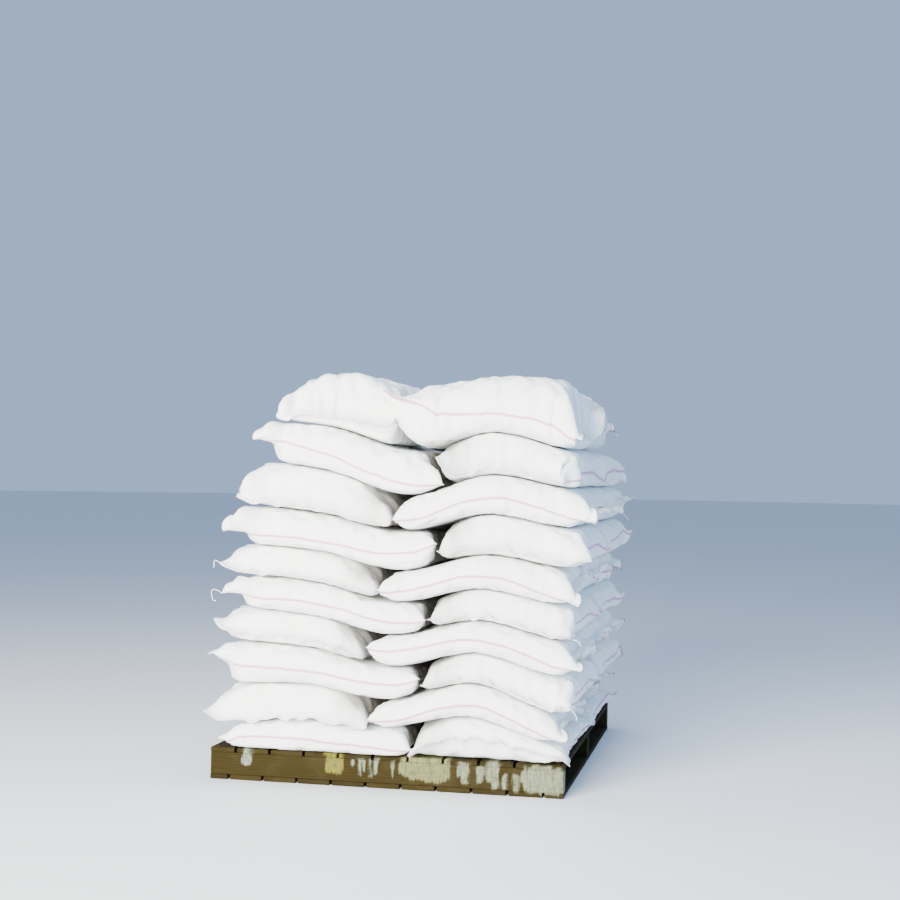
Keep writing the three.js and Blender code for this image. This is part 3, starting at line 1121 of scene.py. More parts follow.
@dataclass
class Sack:
    """One full sack in its place in the stack: two sheets, a hem at each end, stitches and thread tails."""

    node: str
    layer: int
    column: Column
    row: str
    profile: StackProfile
    form: SackForm
    free_top: bool
    hem: float = 0.026
    tucked_hem: float = 0.007
    hem_rows: int = 3
    cloth_thickness: float = 0.003
    stitch_place: float = 0.011
    stitch_radius: float = 0.0024
    # The thickest and the thinnest point of a stitch, as shares of its radius.
    stitch_beads: tuple[float, float] = (1.15, 0.75)
    tail_radius: float = 0.0014
    # The share of the hidden corners from which a thread hangs.
    tail_share: float = 0.2
    # How far from the other column a sack's shape depends on it.
    joint_reach: float = 0.13
    # The body number of an underside that is full down to its edge.
    full_underside: float = 0.16
    # How much rounder a top sack is than a pressed one, the height and the bend of its side folds, and how
    # far its cloth may stand out over its room.
    free_body: float = 0.10
    free_fold: float = 0.42
    free_bend: float = 1.6
    free_rise: float = 0.006
    # How much of the form's waist a sack that lies end-on keeps: on its free side, and on its inner side in
    # the left column and in the right one.
    free_waist: float = 0.8
    joint_waists: tuple[float, float] = (0.25, 0.15)
    # How far the corners of a sack that lies lengthwise are tucked in on its free side.
    free_tuck: float = 0.55

    def __post_init__(self) -> None:
        """Reads the sack's room from its CAD node and draws its own random numbers."""
        low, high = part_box(self.node)
        self.low = np.array(low)
        self.high = np.array(high)
        odd_layer = self.layer % 2 == 1
        lengthwise = odd_layer == (self.column is Column.LEFT)
        self.lie = Lie.LENGTHWISE if lengthwise else Lie.END_ON
        letters = sum(map(ord, self.node))
        self.rng = np.random.default_rng(1000 + self.layer * 20 + len(self.node) + letters * 7)
        self.turn_u = int(self.rng.choice((-1, 1)))
        self.turn_v = int(self.rng.choice((-1, 1)))
        faces_viewer = self.row == "front"
        self.turn_z = 1 if self.free_top or faces_viewer else int(self.rng.choice((-1, 1)))
        self.both_ends = self.ends()

    def drawn_end(self, middle: tuple[float, float], corner: tuple[float, float]) -> SackEnd:
        """An end whose seam lies at random heights, with a random ear at each corner.

        Args:
            middle: the range of the heights of its seam's middle.
            corner: the range of the heights of its corners.

        Returns:
            The end.
        """
        corners = []
        for _ in range(2):
            height = self.rng.uniform(*corner)
            turn = self.rng.uniform(0, 75) * (1 if height < 0.5 else -1)
            reach, pinch, size = self.rng.uniform((0.0, 0.7, 0.05), (0.02, 1.1, 0.08))
            corners.append(SackCorner(height, reach, pinch, turn, size))
        return SackEnd(self.rng.uniform(*middle), *corners)

    def ends(self) -> tuple[SackEnd, SackEnd]:
        """The sack's two ends: those that the photograph shows, and random or plain ones elsewhere.

        Returns:
            The lower and the higher end along the sack's length.
        """
        if self.lie is Lie.END_ON:
            outer = self.drawn_end((0.1, 0.35), (0.1, 0.6))
            blunt = SackCorner(outer.near.height, 0.0, 0.5)
            if self.column is Column.LEFT:
                outer = SackEnd(outer.middle, outer.near, blunt)
            else:
                outer = SackEnd(outer.middle, blunt, outer.far)
            outer = SEEN_ENDS.get(self.node, outer)
            return (outer, INNER_END) if self.row == "front" else (INNER_END, outer)
        outer = SEEN_ENDS.get(self.node, self.drawn_end((0.35, 0.6), (0.1, 0.85)))
        inner = SEEN_INNER_ENDS.get(self.node, INNER_END)
        if self.free_top and self.row == "front":
            inner = TOP_INNER_END
        return (outer, inner) if self.column is Column.LEFT else (inner, outer)

    def outer_ends(self) -> tuple[bool, bool]:
        """Whether the lower and the higher end along the sack's length lie at the outside of the stack.

        Returns:
            One answer for each end.
        """
        if self.lie is Lie.LENGTHWISE:
            return self.column is Column.LEFT, self.column is Column.RIGHT
        return self.row == "front", self.row == "back"

    def by_corner(self, name: str) -> Array:
        """Gives each point one of the numbers of the corner in its own quarter of the sack.

        Args:
            name: the number's name in a corner.

        Returns:
            The number for each point.
        """
        low_end = self.turn_u * self.form.flat_u < 0
        near = self.turn_v * self.form.flat_v < 0
        start, end = self.both_ends
        low = np.where(near, getattr(start.near, name), getattr(start.far, name))
        high = np.where(near, getattr(end.near, name), getattr(end.far, name))
        return np.where(low_end, low, high)

    def ear(self, share: float) -> Array:
        """How much each point belongs to a corner's flat ear.

        It is exp(-(distance / radius)^4) on the flat cloth.

        Args:
            share: the radius as a share of the ear's size.

        Returns:
            A number from 0 to 1 for each point.
        """
        from_end = (1 - np.abs(self.form.flat_u)) * HALF_LENGTH
        from_side = (1 - np.abs(self.form.flat_v)) * HALF_WIDTH
        radius = self.by_corner("size") * share
        return np.exp(-(((from_end**2 + from_side**2) / radius**2) ** 2))

    def joint_side(self) -> Array:
        """How near each point is to the other column: exp(-(distance / reach)^4) on the flat cloth.

        Returns:
            A number from 0 to 1 for each point.
        """
        way = 1 if self.column is Column.LEFT else -1
        if self.lie is Lie.LENGTHWISE:
            distance = (1 - way * self.turn_u * self.form.flat_u) * HALF_LENGTH
        else:
            distance = (1 - way * self.turn_v * self.form.flat_v) * HALF_WIDTH
        return np.exp(-((distance / self.joint_reach) ** 4))

    def joint_end(self) -> SackEnd:
        """The end whose numbers shape the side next to the other column."""
        at_low = self.column is Column.RIGHT if self.lie is Lie.LENGTHWISE else self.row == "front"
        return self.both_ends[0 if at_low else 1]

    def fullness(self, height: Array) -> Array:
        """Fills out the sack's heights, as its loose filling does under the weight on it.

        A height h from -1 to 1 about the rim becomes sign(h) ((|h| + e)^p - e^p) / ((1 + e)^p - e^p), with
        a small e that keeps the slope at the rim finite. p is low in the body, which makes the sides
        upright, and goes over to the corner's pinch within some 80 mm of it. Next to the other column the
        upper edge is rounder and the lower edge fuller.

        Args:
            height: the heights in the form, from 0 to 1.

        Returns:
            The filled-out heights, from 0 to 1 too.
        """
        soft = 0.05
        start, end = self.both_ends
        body = mix(start.body, end.body, smooth_step(-1, 1, self.turn_u * self.form.flat_u))
        if self.free_top:
            body = body + self.free_body
        centred = 2 * height - 1
        lower_half = centred * self.turn_z < 0
        above = body if self.free_top else self.joint_end().shoulder
        body = mix(body, np.where(lower_half, self.full_underside, above), self.joint_side())
        if self.free_top:
            body = np.where(lower_half, self.full_underside, body)
        power = mix(body, self.by_corner("pinch"), self.ear(1.0))
        full = ((np.abs(centred) + soft) ** power - soft**power) / ((1 + soft) ** power - soft**power)
        return 0.5 + 0.5 * np.sign(centred) * full

    def across_room(self) -> tuple[float, float]:
        """The middle and the half width of the room that the sack takes across its length."""
        axis = 1 if self.lie is Lie.LENGTHWISE else 0
        return (self.low[axis] + self.high[axis]) / 2, (self.high[axis] - self.low[axis]) / 2

    def along_room(self) -> tuple[float, float]:
        """The room along the sack, without its hems.

        Returns:
            Its middle and its half length.
        """
        axis = 0 if self.lie is Lie.LENGTHWISE else 1
        low_outer, high_outer = self.outer_ends()
        low = self.low[axis] + (self.hem if low_outer else self.tucked_hem)
        high = self.high[axis] - (self.hem if high_outer else self.tucked_hem)
        high -= SET_BACK.get(self.node, 0.0)
        return (low + high) / 2, (high - low) / 2

    def across(self, sheet: Array) -> Array:
        """Fits a sheet's width into the room.

        A sack that lies end-on is narrower in the middle than at its corners, most of all on its free side.
        One that lies between others fills its room in the middle, and its corners are tucked in, fully on
        the side of a neighbour and partly on a free side.

        Args:
            sheet: the points of one sheet of the form.

        Returns:
            The place of each point across the sack's length, in the frame.
        """
        middle, half = self.across_room()
        row_half = self.form.row_half()[:, None]
        share = self.turn_v * sheet[..., 1] / row_half
        if self.lie is Lie.END_ON:
            narrow = row_half / row_half.max()
            joint_high = self.column is Column.LEFT
            free_share = mix(1.0, narrow, self.free_waist)
            joint_share = mix(1.0, narrow, self.joint_waists[0 if joint_high else 1])
            low_share, high_share = (free_share, joint_share) if joint_high else (joint_share, free_share)
            return middle + half * np.where(share < 0, share * low_share, share * high_share)
        body_half = float(row_half[len(row_half) // 2, 0])
        natural = half * row_half / body_half
        tucked_low = mix(natural, half, self.free_tuck if self.row == "front" else 1.0)
        tucked_high = mix(natural, half, self.free_tuck if self.row == "back" else 1.0)
        return middle + np.where(share < 0, share * tucked_low, share * tucked_high)

    def laid(self, sheet: Array) -> Array:
        """Carries one sheet of the filled form into the sack's place.

        Along and across are scaled to the room. A height of 0 to 1 in the form becomes the height between
        the layers' surfaces at that x, bent so that the rim lies at the seam's height towards the ends:
        share = mix(fold, mix(middle, corner, v^8), |u|^4), or |u|^1.6 in a top sack, whose fold slants from
        end to end. The ears are pulled along x by their reach.

        Args:
            sheet: the points of one sheet of the form.

        Returns:
            The points in the frame.
        """
        along_middle, along_half = self.along_room()
        u = self.turn_u * sheet[..., 0] / self.form.reach()
        along = along_middle + u * along_half
        across = self.across(sheet)
        # An ear is flat cloth, so its fold and its seam are straight.
        ear = self.ear(0.8)
        fold = np.where(self.form.flat_v < 0, along[:, :1], along[:, -1:])
        rim = np.where(self.form.flat_u < 0, across[:1], across[-1:])
        along = mix(along, fold, ear)
        across = mix(across, rim, ear)
        x, y = (along, across) if self.lie is Lie.LENGTHWISE else (across, along)
        height = self.fullness(self.form.relative_height(sheet))
        if self.turn_z < 0:
            height = 1 - height
        start, end = self.both_ends
        middle = np.where(self.turn_u * self.form.flat_u < 0, start.middle, end.middle)
        at_end = mix(middle, self.by_corner("height"), self.form.flat_v**8)
        fold, power = (self.free_fold, self.free_bend) if self.free_top else (self.side_fold(), 4.0)
        seam = mix(fold, at_end, np.abs(self.form.flat_u) ** power)
        bent = np.where(height < 0.5, height * 2 * seam, seam + (height * 2 - 1) * (1 - seam))
        floor = self.profile.height(self.layer - 1, x) + CLEARANCE
        ceiling = self.profile.height(self.layer, x) - CLEARANCE
        outwards = -1 if self.column is Column.LEFT else 1
        if self.lie is Lie.LENGTHWISE:
            outwards = np.where(u < 0, -1, 1)
        pulled = x + outwards * self.by_corner("reach") * self.ear(1.0)
        return self.with_turned_ears(np.stack([pulled, y, mix(floor, ceiling, bent)], -1))

    def side_fold(self) -> Array:
        """The height of the side folds away from the ends, which is another one next to the other column.

        Returns:
            The height for each point, from 0 to 1.
        """
        start, end = self.both_ends
        outer = start if self.outer_ends()[0] else end
        if self.lie is Lie.LENGTHWISE:
            return np.full_like(self.form.flat_u, outer.fold)
        return mix(outer.fold, self.joint_end().joint, self.joint_side())

    def axis(self) -> Array:
        """The direction of the sack's length."""
        return np.array([1.0, 0, 0]) if self.lie is Lie.LENGTHWISE else np.array([0, 1.0, 0])

    def ear_angles(self) -> Array:
        """The angle about X that the ears turn each point by.

        Returns:
            The angles, positive where the back of an ear goes up.
        """
        if self.lie is Lie.LENGTHWISE:
            at_front = self.turn_v * self.form.flat_v < 0
        else:
            at_front = self.turn_u * self.form.flat_u < 0
        return np.radians(self.by_corner("turn")) * self.ear(1.15) * np.where(at_front, 1, -1)

    def with_turned_ears(self, sheet: Array) -> Array:
        """Turns the cloth of each ear about X, round the point of the fold or seam before or behind it.

        With the angle a and the offset (dy, dz) from that point, it goes to (dy cos a - dz sin a,
        dy sin a + dz cos a).

        Args:
            sheet: the laid points.

        Returns:
            The turned points.
        """
        if self.lie is Lie.LENGTHWISE:
            pivot = np.where(self.form.flat_v[..., None] < 0, sheet[:, :1], sheet[:, -1:])
        else:
            pivot = np.where(self.form.flat_u[..., None] < 0, sheet[:1], sheet[-1:])
        angle = self.ear_angles()
        offset = sheet - pivot
        turned = sheet.copy()
        turned[..., 1] = pivot[..., 1] + offset[..., 1] * np.cos(angle) - offset[..., 2] * np.sin(angle)
        turned[..., 2] = pivot[..., 2] + offset[..., 1] * np.sin(angle) + offset[..., 2] * np.cos(angle)
        return turned

    def relief(self, rng: np.random.Generator) -> Array:
        """How far the loose cloth of one sheet stands out from its smooth shape.

        It adds low lumps of the filling, pleats that fan out from the four corners, cos(n a + phase) at the
        angle a, and puckers along both end seams that fade within 45 mm.

        Args:
            rng: the sack's random numbers.

        Returns:
            The height at each point.
        """
        lump, pleat, pucker = 0.0022 if self.free_top else 0.0030, 0.0045, 0.006
        pleat_place, pucker_pitch = 0.09, 0.052
        u, v = self.form.flat_u, self.form.flat_v
        flat = np.stack([u * HALF_LENGTH, v * HALF_WIDTH], -1)
        rim = (1 - u**12) * (1 - v**12)
        lumps = lump * plane_waves(flat, rng, (0.09, 0.26), 10) * rim
        from_end = (1 - np.abs(u)) * HALF_LENGTH
        from_side = (1 - np.abs(v)) * HALF_WIDTH
        corner = np.where(u < 0, 0, 1) + np.where(v < 0, 0, 2)
        phases = rng.uniform(0, 2 * math.pi, 4)[corner]
        counts = rng.uniform(9, 14, 4)[corner]
        fan = np.cos(counts * np.arctan2(from_side, from_end) + phases)
        distance = np.hypot(from_end, from_side) / pleat_place
        pleats = pleat * fan * distance * np.exp(1 - distance) * rim
        wander = 2.5 * plane_waves(flat[..., 1:], rng, (0.15, 0.4), 5)
        ridges = np.cos(flat[..., 1] * 2 * math.pi / pucker_pitch + wander)
        fade = (1 - np.exp(-from_end / 0.014)) * np.exp(-from_end / 0.045)
        return lumps + pleats + pucker * ridges * fade * (1 - v**12)

    def ruffled(self, sheet: Array, outwards: int, rng: np.random.Generator) -> Array:
        """Moves a laid sheet along its normals by its relief, and keeps it between its neighbours.

        Args:
            sheet: the laid points.
            outwards: 1 or -1, the sign that makes the grid's normals point out of the sack.
            rng: the sack's random numbers.

        Returns:
            The moved points, with the rim where it was.
        """
        normal = np.cross(np.gradient(sheet, axis=0), np.gradient(sheet, axis=1)) * outwards
        normal /= np.maximum(np.linalg.norm(normal, axis=-1, keepdims=True), 1e-9)
        shift = self.relief(rng)
        shift[[0, -1], :] = 0
        shift[:, [0, -1]] = 0
        # The cloth is smooth where another sack presses on it.
        under = self.profile.height(self.layer - 1, sheet[..., 0])
        over = self.profile.height(self.layer, sheet[..., 0])
        share = (sheet[..., 2] - under) / (over - under)
        shift = shift * smooth_step(0.0, 0.2, share)
        if not self.free_top:
            shift = shift * smooth_step(1.0, 0.8, share)
        moved = sheet + normal * shift[..., None]
        floor = self.profile.height(self.layer - 1, moved[..., 0]) + CLEARANCE
        ceiling = self.profile.height(self.layer, moved[..., 0]) - CLEARANCE
        if self.free_top:
            ceiling = ceiling + self.free_rise
        moved[..., 2] = np.clip(moved[..., 2], floor, ceiling)
        return moved

    def hem_directions(self, rim: Array, outward: Array, outer: bool, turn: Array) -> tuple[Array, Array]:
        """Where the flat hem points along an end seam, and the direction through its thickness.

        Args:
            rim: the points of the end seam.
            outward: the direction out of the sack at this end.
            outer: whether the hem is free, so that its corners may turn up or down.
            turn: the angle about X that the ears turn each point's hem by.

        Returns:
            For each rim point the hem's direction and its face's normal.
        """
        # The largest angles of the whole hem, of its corners and of the ruffle, how much of the ruffle a
        # tucked hem keeps, and how far the corners point sideways.
        free_swing = 0.35 if self.lie is Lie.LENGTHWISE else 0.5
        tilt, swing, ruffle = 0.25, free_swing if outer else 0.1, 0.3
        tucked_ruffle, splay = 0.4, 0.22
        v = np.linspace(-1, 1, len(rim))[:, None]
        angle = self.rng.uniform(-tilt, tilt) + self.rng.uniform(-swing, swing) * v**3
        waves = ruffle * plane_waves(v * HALF_WIDTH, self.rng, (0.06, 0.16), 6)[:, None]
        angle = angle + waves * (1.0 if outer else tucked_ruffle)
        side = rim[-1] - rim[0]
        side /= np.linalg.norm(side)
        direction = outward * np.cos(angle) + UP * np.sin(angle) + side * (splay * v**5)
        y, z = direction[:, 1].copy(), direction[:, 2].copy()
        direction[:, 1] = y * np.cos(turn) - z * np.sin(turn)
        direction[:, 2] = y * np.sin(turn) + z * np.cos(turn)
        direction /= np.linalg.norm(direction, axis=1, keepdims=True)
        normal = np.cross(direction, np.gradient(rim, axis=0))
        normal /= np.linalg.norm(normal, axis=1, keepdims=True)
        return direction, normal * np.sign(normal[len(rim) // 2, 2])

    def tail(self, corner: Array, outward: Array, shape: ThreadTail) -> tuple[Array, Array]:
        """A thread tail from a hem corner: its places joined by straight lines, rounded by a moving mean.

        Args:
            corner: where it starts.
            outward: the level direction that it goes.
            shape: its places.

        Returns:
            The points and the quads.
        """
        reach = 6
        mean = np.full(2 * reach + 1, 1 / (2 * reach + 1))
        places = np.array(shape.places)
        numbers = np.linspace(0, len(places) - 1, 2 * reach * (len(places) - 1) + 1)
        line = np.stack([np.interp(numbers, np.arange(len(places)), places[:, k]) for k in (0, 1)], -1)
        padded = np.pad(line, ((reach, reach), (0, 0)), "edge")
        smooth = np.stack([np.convolve(padded[:, k], mean, "valid") for k in (0, 1)], -1)
        level = outward / np.linalg.norm(outward)
        path = corner + level * smooth[:, :1] + UP * smooth[:, 1:]
        return tube(path, np.full(len(path), self.tail_radius), np.cross(level, UP))

    def build(self, finishes: Finishes) -> bpy.types.Object:
        """Makes the sack's mesh and dresses it.

        Args:
            finishes: the materials.

        Returns:
            The finished piece, riding on the object's body and standing for its CAD node.
        """
        handed = self.turn_u * self.turn_v * self.turn_z * (1 if self.lie is Lie.LENGTHWISE else -1)
        smooth_upper = self.laid(self.form.upper)
        smooth_lower = self.laid(self.form.lower)
        upper = self.ruffled(smooth_upper, handed, self.rng)
        lower = self.ruffled(smooth_lower, -handed, self.rng)
        ear_angles = self.ear_angles()
        steps = np.arange(1, self.hem_rows + 1) / self.hem_rows
        ends = []
        parts = MeshParts()
        for row, sign in ((0, -1), (-1, 1)):
            rim = upper[row].copy()
            way = sign * self.turn_u
            outward = self.axis() * way
            outer = self.outer_ends()[0 if way < 0 else 1]
            direction, normal = self.hem_directions(rim, outward, outer, ear_angles[row])
            lift = normal * self.cloth_thickness / 2 * self.turn_z
            lift[[0, -1]] = 0
            upper[row] = rim + lift
            lower[row] = rim - lift
            length = self.hem if outer else self.tucked_hem
            flap = rim[None] + direction[None] * (steps * length)[:, None, None]
            flap_lift = np.repeat(lift[None], self.hem_rows, 0)
            flap_lift[-1] = 0
            ends.append((flap + flap_lift, flap - flap_lift))
            if outer:
                self.add_stitches(parts, rim, direction, outward)
        hemmed = [
            np.concatenate([ends[0][side][::-1], sheet, ends[1][side]])
            for side, sheet in ((0, upper), (1, lower), (0, smooth_upper), (1, smooth_lower))
        ]
        upper, lower = hemmed[:2]
        flat = (self.flat_places(hemmed[2]), self.flat_places(hemmed[3]))
        thread = np.zeros(parts.count)
        self.add_sheets(parts, upper, lower, flat, handed)
        piece = parts.to_object(f"woven_{self.node}", [finishes.cloth, finishes.thread])
        edges = self.hem_edge_marks(*upper.shape[:2], parts.count - len(thread))
        set_attribute(piece, "hem_edge", np.concatenate([thread, edges]))
        # Painted shade for the deep joint between the columns, stored for the cloth's material to read.
        set_attribute(piece, "painted_joint_shade", np.concatenate([thread, self.painted_joint_shade(upper, lower)]))
        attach(piece, BODY)
        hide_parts(self.node)
        return piece

    def hem_edge_marks(self, rows: int, columns: int, count: int) -> Array:
        """Marks the cut edges of the hems with 1 near their corners, and every other point with 0.

        Args:
            rows: the rows of the upper sheet, hems included.
            columns: its columns.
            count: how many points the two sheets have together.

        Returns:
            One mark for each point.
        """
        grid = np.zeros((rows, columns))
        grid[[0, -1]] = smooth_step(0.35, 0.8, np.abs(np.linspace(-1, 1, columns)))
        return np.pad(grid.ravel(), (0, count - grid.size))

    def painted_joint_shade(self, upper: Array, lower: Array) -> Array:
        """How much painted shade darkens each point: next to the other column, and well behind the stack's
        faces.

        Args:
            upper: the upper sheet with its hems.
            lower: the lower one.

        Returns:
            A number from 0 to 1 for each point of the two sheets, in the order of the closed shell.
        """
        near = np.pad(self.joint_side(), ((self.hem_rows, self.hem_rows), (0, 0)), "edge")
        # How far behind the stack's faces the painted shade starts and is at its full strength.
        start = 0.02 if self.lie is Lie.END_ON else 0.07
        full = start + 0.07
        shares = []
        for sheet in (upper, lower):
            behind_front = sheet[..., 1] - self.low[1] if self.row == "front" else 1.0
            behind_back = self.high[1] - sheet[..., 1] if self.row == "back" else 1.0
            behind = np.minimum(behind_front, behind_back) * np.ones_like(near)
            shares.append(near * smooth_step(start, full, behind) * (not self.free_top))
        return np.concatenate([shares[0].ravel(), shares[1][1:-1, 1:-1].ravel()])

    def add_stitches(self, parts: MeshParts, rim: Array, direction: Array, outward: Array) -> None:
        """Adds the closing chain stitch of one hem, a beaded tube, and the thread tails at its corners.

        Args:
            parts: what they are added to.
            rim: the points of the end seam.
            direction: the hem's direction at each of them.
            outward: the direction out of the sack at this end.
        """
        places = np.linspace(0, len(rim) - 1, 2 * len(rim) - 1)
        numbers = np.arange(len(rim))
        line = rim + direction * self.stitch_place
        path = np.stack([np.interp(places, numbers, line[:, k]) for k in range(3)], -1)
        radii = self.stitch_radius * np.where(np.arange(len(path)) % 2 == 0, *self.stitch_beads)
        parts.add(*tube(path, radii, np.cross(outward, UP) * 0.3 + outward), finish=1)
        side = path[-1] - path[0]
        side /= np.linalg.norm(side)
        seen = SEEN_TAILS.get(self.node)
        # A known fault: a front sack that lies lengthwise has its seen tail at both corners where its rim
        # starts at the back, and at neither where it starts at the front.
        rim_from_back = path[0][1] >= path[-1][1]
        for corner, way in ((path[0], -1), (path[-1], 1)):
            shape = None
            if self.row == "front":
                at_left = corner[0] == min(path[0][0], path[-1][0])
                outside = at_left == (self.column is Column.LEFT)
                shape = seen if (rim_from_back if self.lie is Lie.LENGTHWISE else outside) else None
            elif self.rng.uniform() < self.tail_share:
                steps = self.rng.uniform((0.002, -0.02), (0.011, 0.008), (4, 2))
                shape = ThreadTail(tuple(map(tuple, np.cumsum(steps, 0) - steps[0])))
            if shape:
                start = corner + direction[0 if way < 0 else -1] * self.stitch_place
                way_out = outward if self.lie is Lie.LENGTHWISE else side * way + outward * 0.3
                parts.add(*self.tail(start, way_out, shape), finish=1)

    def flat_places(self, sheet: Array) -> Array:
        """The flat coordinates of one sheet's points, by the length of its curves: along it and across it.

        Along runs from minus to plus half the bag's length with its hems, and across from 0 to its width.

        Args:
            sheet: the points, with the hems.

        Returns:
            Two coordinates in metres for each point.
        """
        sizes = (2 * HALF_LENGTH + 2 * self.hem, 2 * HALF_WIDTH)
        places = []
        for axis, size in enumerate(sizes):
            step = np.linalg.norm(np.diff(sheet, axis=axis), axis=-1) + 1e-6
            run = np.cumsum(step, axis=axis)
            run = np.concatenate([np.zeros_like(run.take([0], axis)), run], axis)
            places.append(run / run.take([-1], axis) * size)
        places[0] = places[0] - sizes[0] / 2
        return np.stack(places, -1)

    def add_sheets(
        self, parts: MeshParts, upper: Array, lower: Array, flat: tuple[Array, Array], handed: int
    ) -> None:
        """Adds the two sheets with their hems, and their flat coordinates in metres.

        The first coordinate runs along the sack. The second runs once round it: 0 to 0.6 across the upper
        sheet and on to 1.2 across the lower one. A small slack of each sack's own, which spreads the lower
        sheet's coordinate about its middle, moves its two stripes away from the folds.

        Args:
            parts: what they are added to.
            upper: the upper sheet's points.
            lower: the lower sheet's points.
            flat: the flat coordinates of both.
            handed: 1 or -1, the sign that makes the quads face outwards.
        """
        points, above, below = closed_pair(upper, lower)
        rows, columns = upper.shape[:2]
        slack = self.rng.uniform(-0.001, 0.004)
        # Each sack has its own length of the cloth's pattern.
        tile = np.array([3.0 * self.rng.integers(1, 40), 0.0])
        middle = 3 * HALF_WIDTH
        numbers = grid_quads(np.arange(rows * columns).reshape(rows, columns))
        upper_flat, lower_flat = (places.reshape(-1, 2) + tile for places in flat)
        upper_places = upper_flat[numbers]
        lower_flat = lower_flat * [1.0, -1.0] + [0.0, 4 * HALF_WIDTH]
        lower_flat[:, 1] = middle + (lower_flat[:, 1] - middle) * (1 + slack / HALF_WIDTH)
        lower_places = lower_flat[numbers[:, ::-1]]
        if handed < 0:
            above, below = above[:, ::-1], below[:, ::-1]
            upper_places, lower_places = upper_places[:, ::-1], lower_places[:, ::-1]
        parts.add(points, np.concatenate([above, below]), np.concatenate([upper_places, lower_places]))


@dataclass
class SackStack:
    """The fifty sacks: ten layers of five, whose two columns change sides from layer to layer."""

    profile: StackProfile
    finishes: Finishes
    layers: int = 10

    def forms(self) -> dict[str, list[SackForm]]:
        """Fills the bags that all the sacks are shaped from, two pressed ones and one with a free top.

        Returns:
            The forms by the name of their kind.
        """
        return {
            "pressed": [FilledBag(seed=3).fill(), FilledBag(seed=11, pressure=12.0, bending=0.4).fill()],
            "free": [FilledBag(seed=5, low_board=-0.085, high_board=0.125, pressure=10.0).fill()],
        }

    def build(self) -> list[bpy.types.Object]:
        """Makes every sack.

        Returns:
            The sack pieces, from the pallet up.
        """
        forms = self.forms()
        pieces = []
        for layer in range(1, self.layers + 1):
            free = layer == self.layers
            for column in Column:
                lengthwise = (layer % 2 == 1) == (column is Column.LEFT)
                for row in ("front", "middle", "back") if lengthwise else ("front", "back"):
                    choice = forms["free" if free else "pressed"]
                    form = choice[(layer * 3 + len(row) + (column is Column.LEFT)) % len(choice)]
                    node = f"sack_{layer:02d}_{column.value}_{row}"
                    sack = Sack(node, layer, column, row, self.profile, form, free)
                    pieces.append(sack.build(self.finishes))
                    LOG.info("made %s, %s", node, sack.lie.value)
        return pieces


# Pallet


@dataclass(frozen=True)
class Patch:
    """A worn patch or a run on the pallet's front, by its places along it and down from its top.

    Its grey goes from 0 for bare yellow wood to 1 for wood covered with dried pale powder.
    """

    start: float
    end: float
    top: float
    bottom: float
    grey: float = 0.0


WORN_PATCHES = (
    Patch(0.467, 0.549, -0.02, 0.074),
    Patch(0.768, 0.966, -0.02, 0.086, 0.35),
    Patch(1.240, 1.410, 0.010, 0.110, 0.75),
)

WHITE_RUNS = (
    Patch(0.574, 0.584, 0.014, 0.040, 1.0),
    Patch(0.601, 0.614, 0.012, 0.082, 0.9),
    Patch(0.622, 0.629, 0.020, 0.060, 0.9),
    Patch(0.642, 0.655, 0.014, 0.086, 0.9),
    Patch(0.666, 0.678, 0.010, 0.070, 0.9),
    Patch(0.735, 0.745, 0.012, 0.084, 0.8),
    Patch(0.130, 0.168, -0.01, 0.064, 1.0),
    Patch(0.990, 1.012, 0.004, 0.062, 0.8),
    Patch(1.008, 1.036, 0.002, 0.090, 0.7),
    Patch(1.066, 1.094, 0.014, 0.084, 0.8),
    Patch(1.106, 1.132, -0.004, 0.082, 0.7),
    Patch(1.124, 1.154, -0.004, 0.104, 0.8),
    Patch(1.166, 1.184, 0.042, 0.104, 0.8),
    Patch(1.206, 1.230, 0.040, 0.110, 0.7),
)


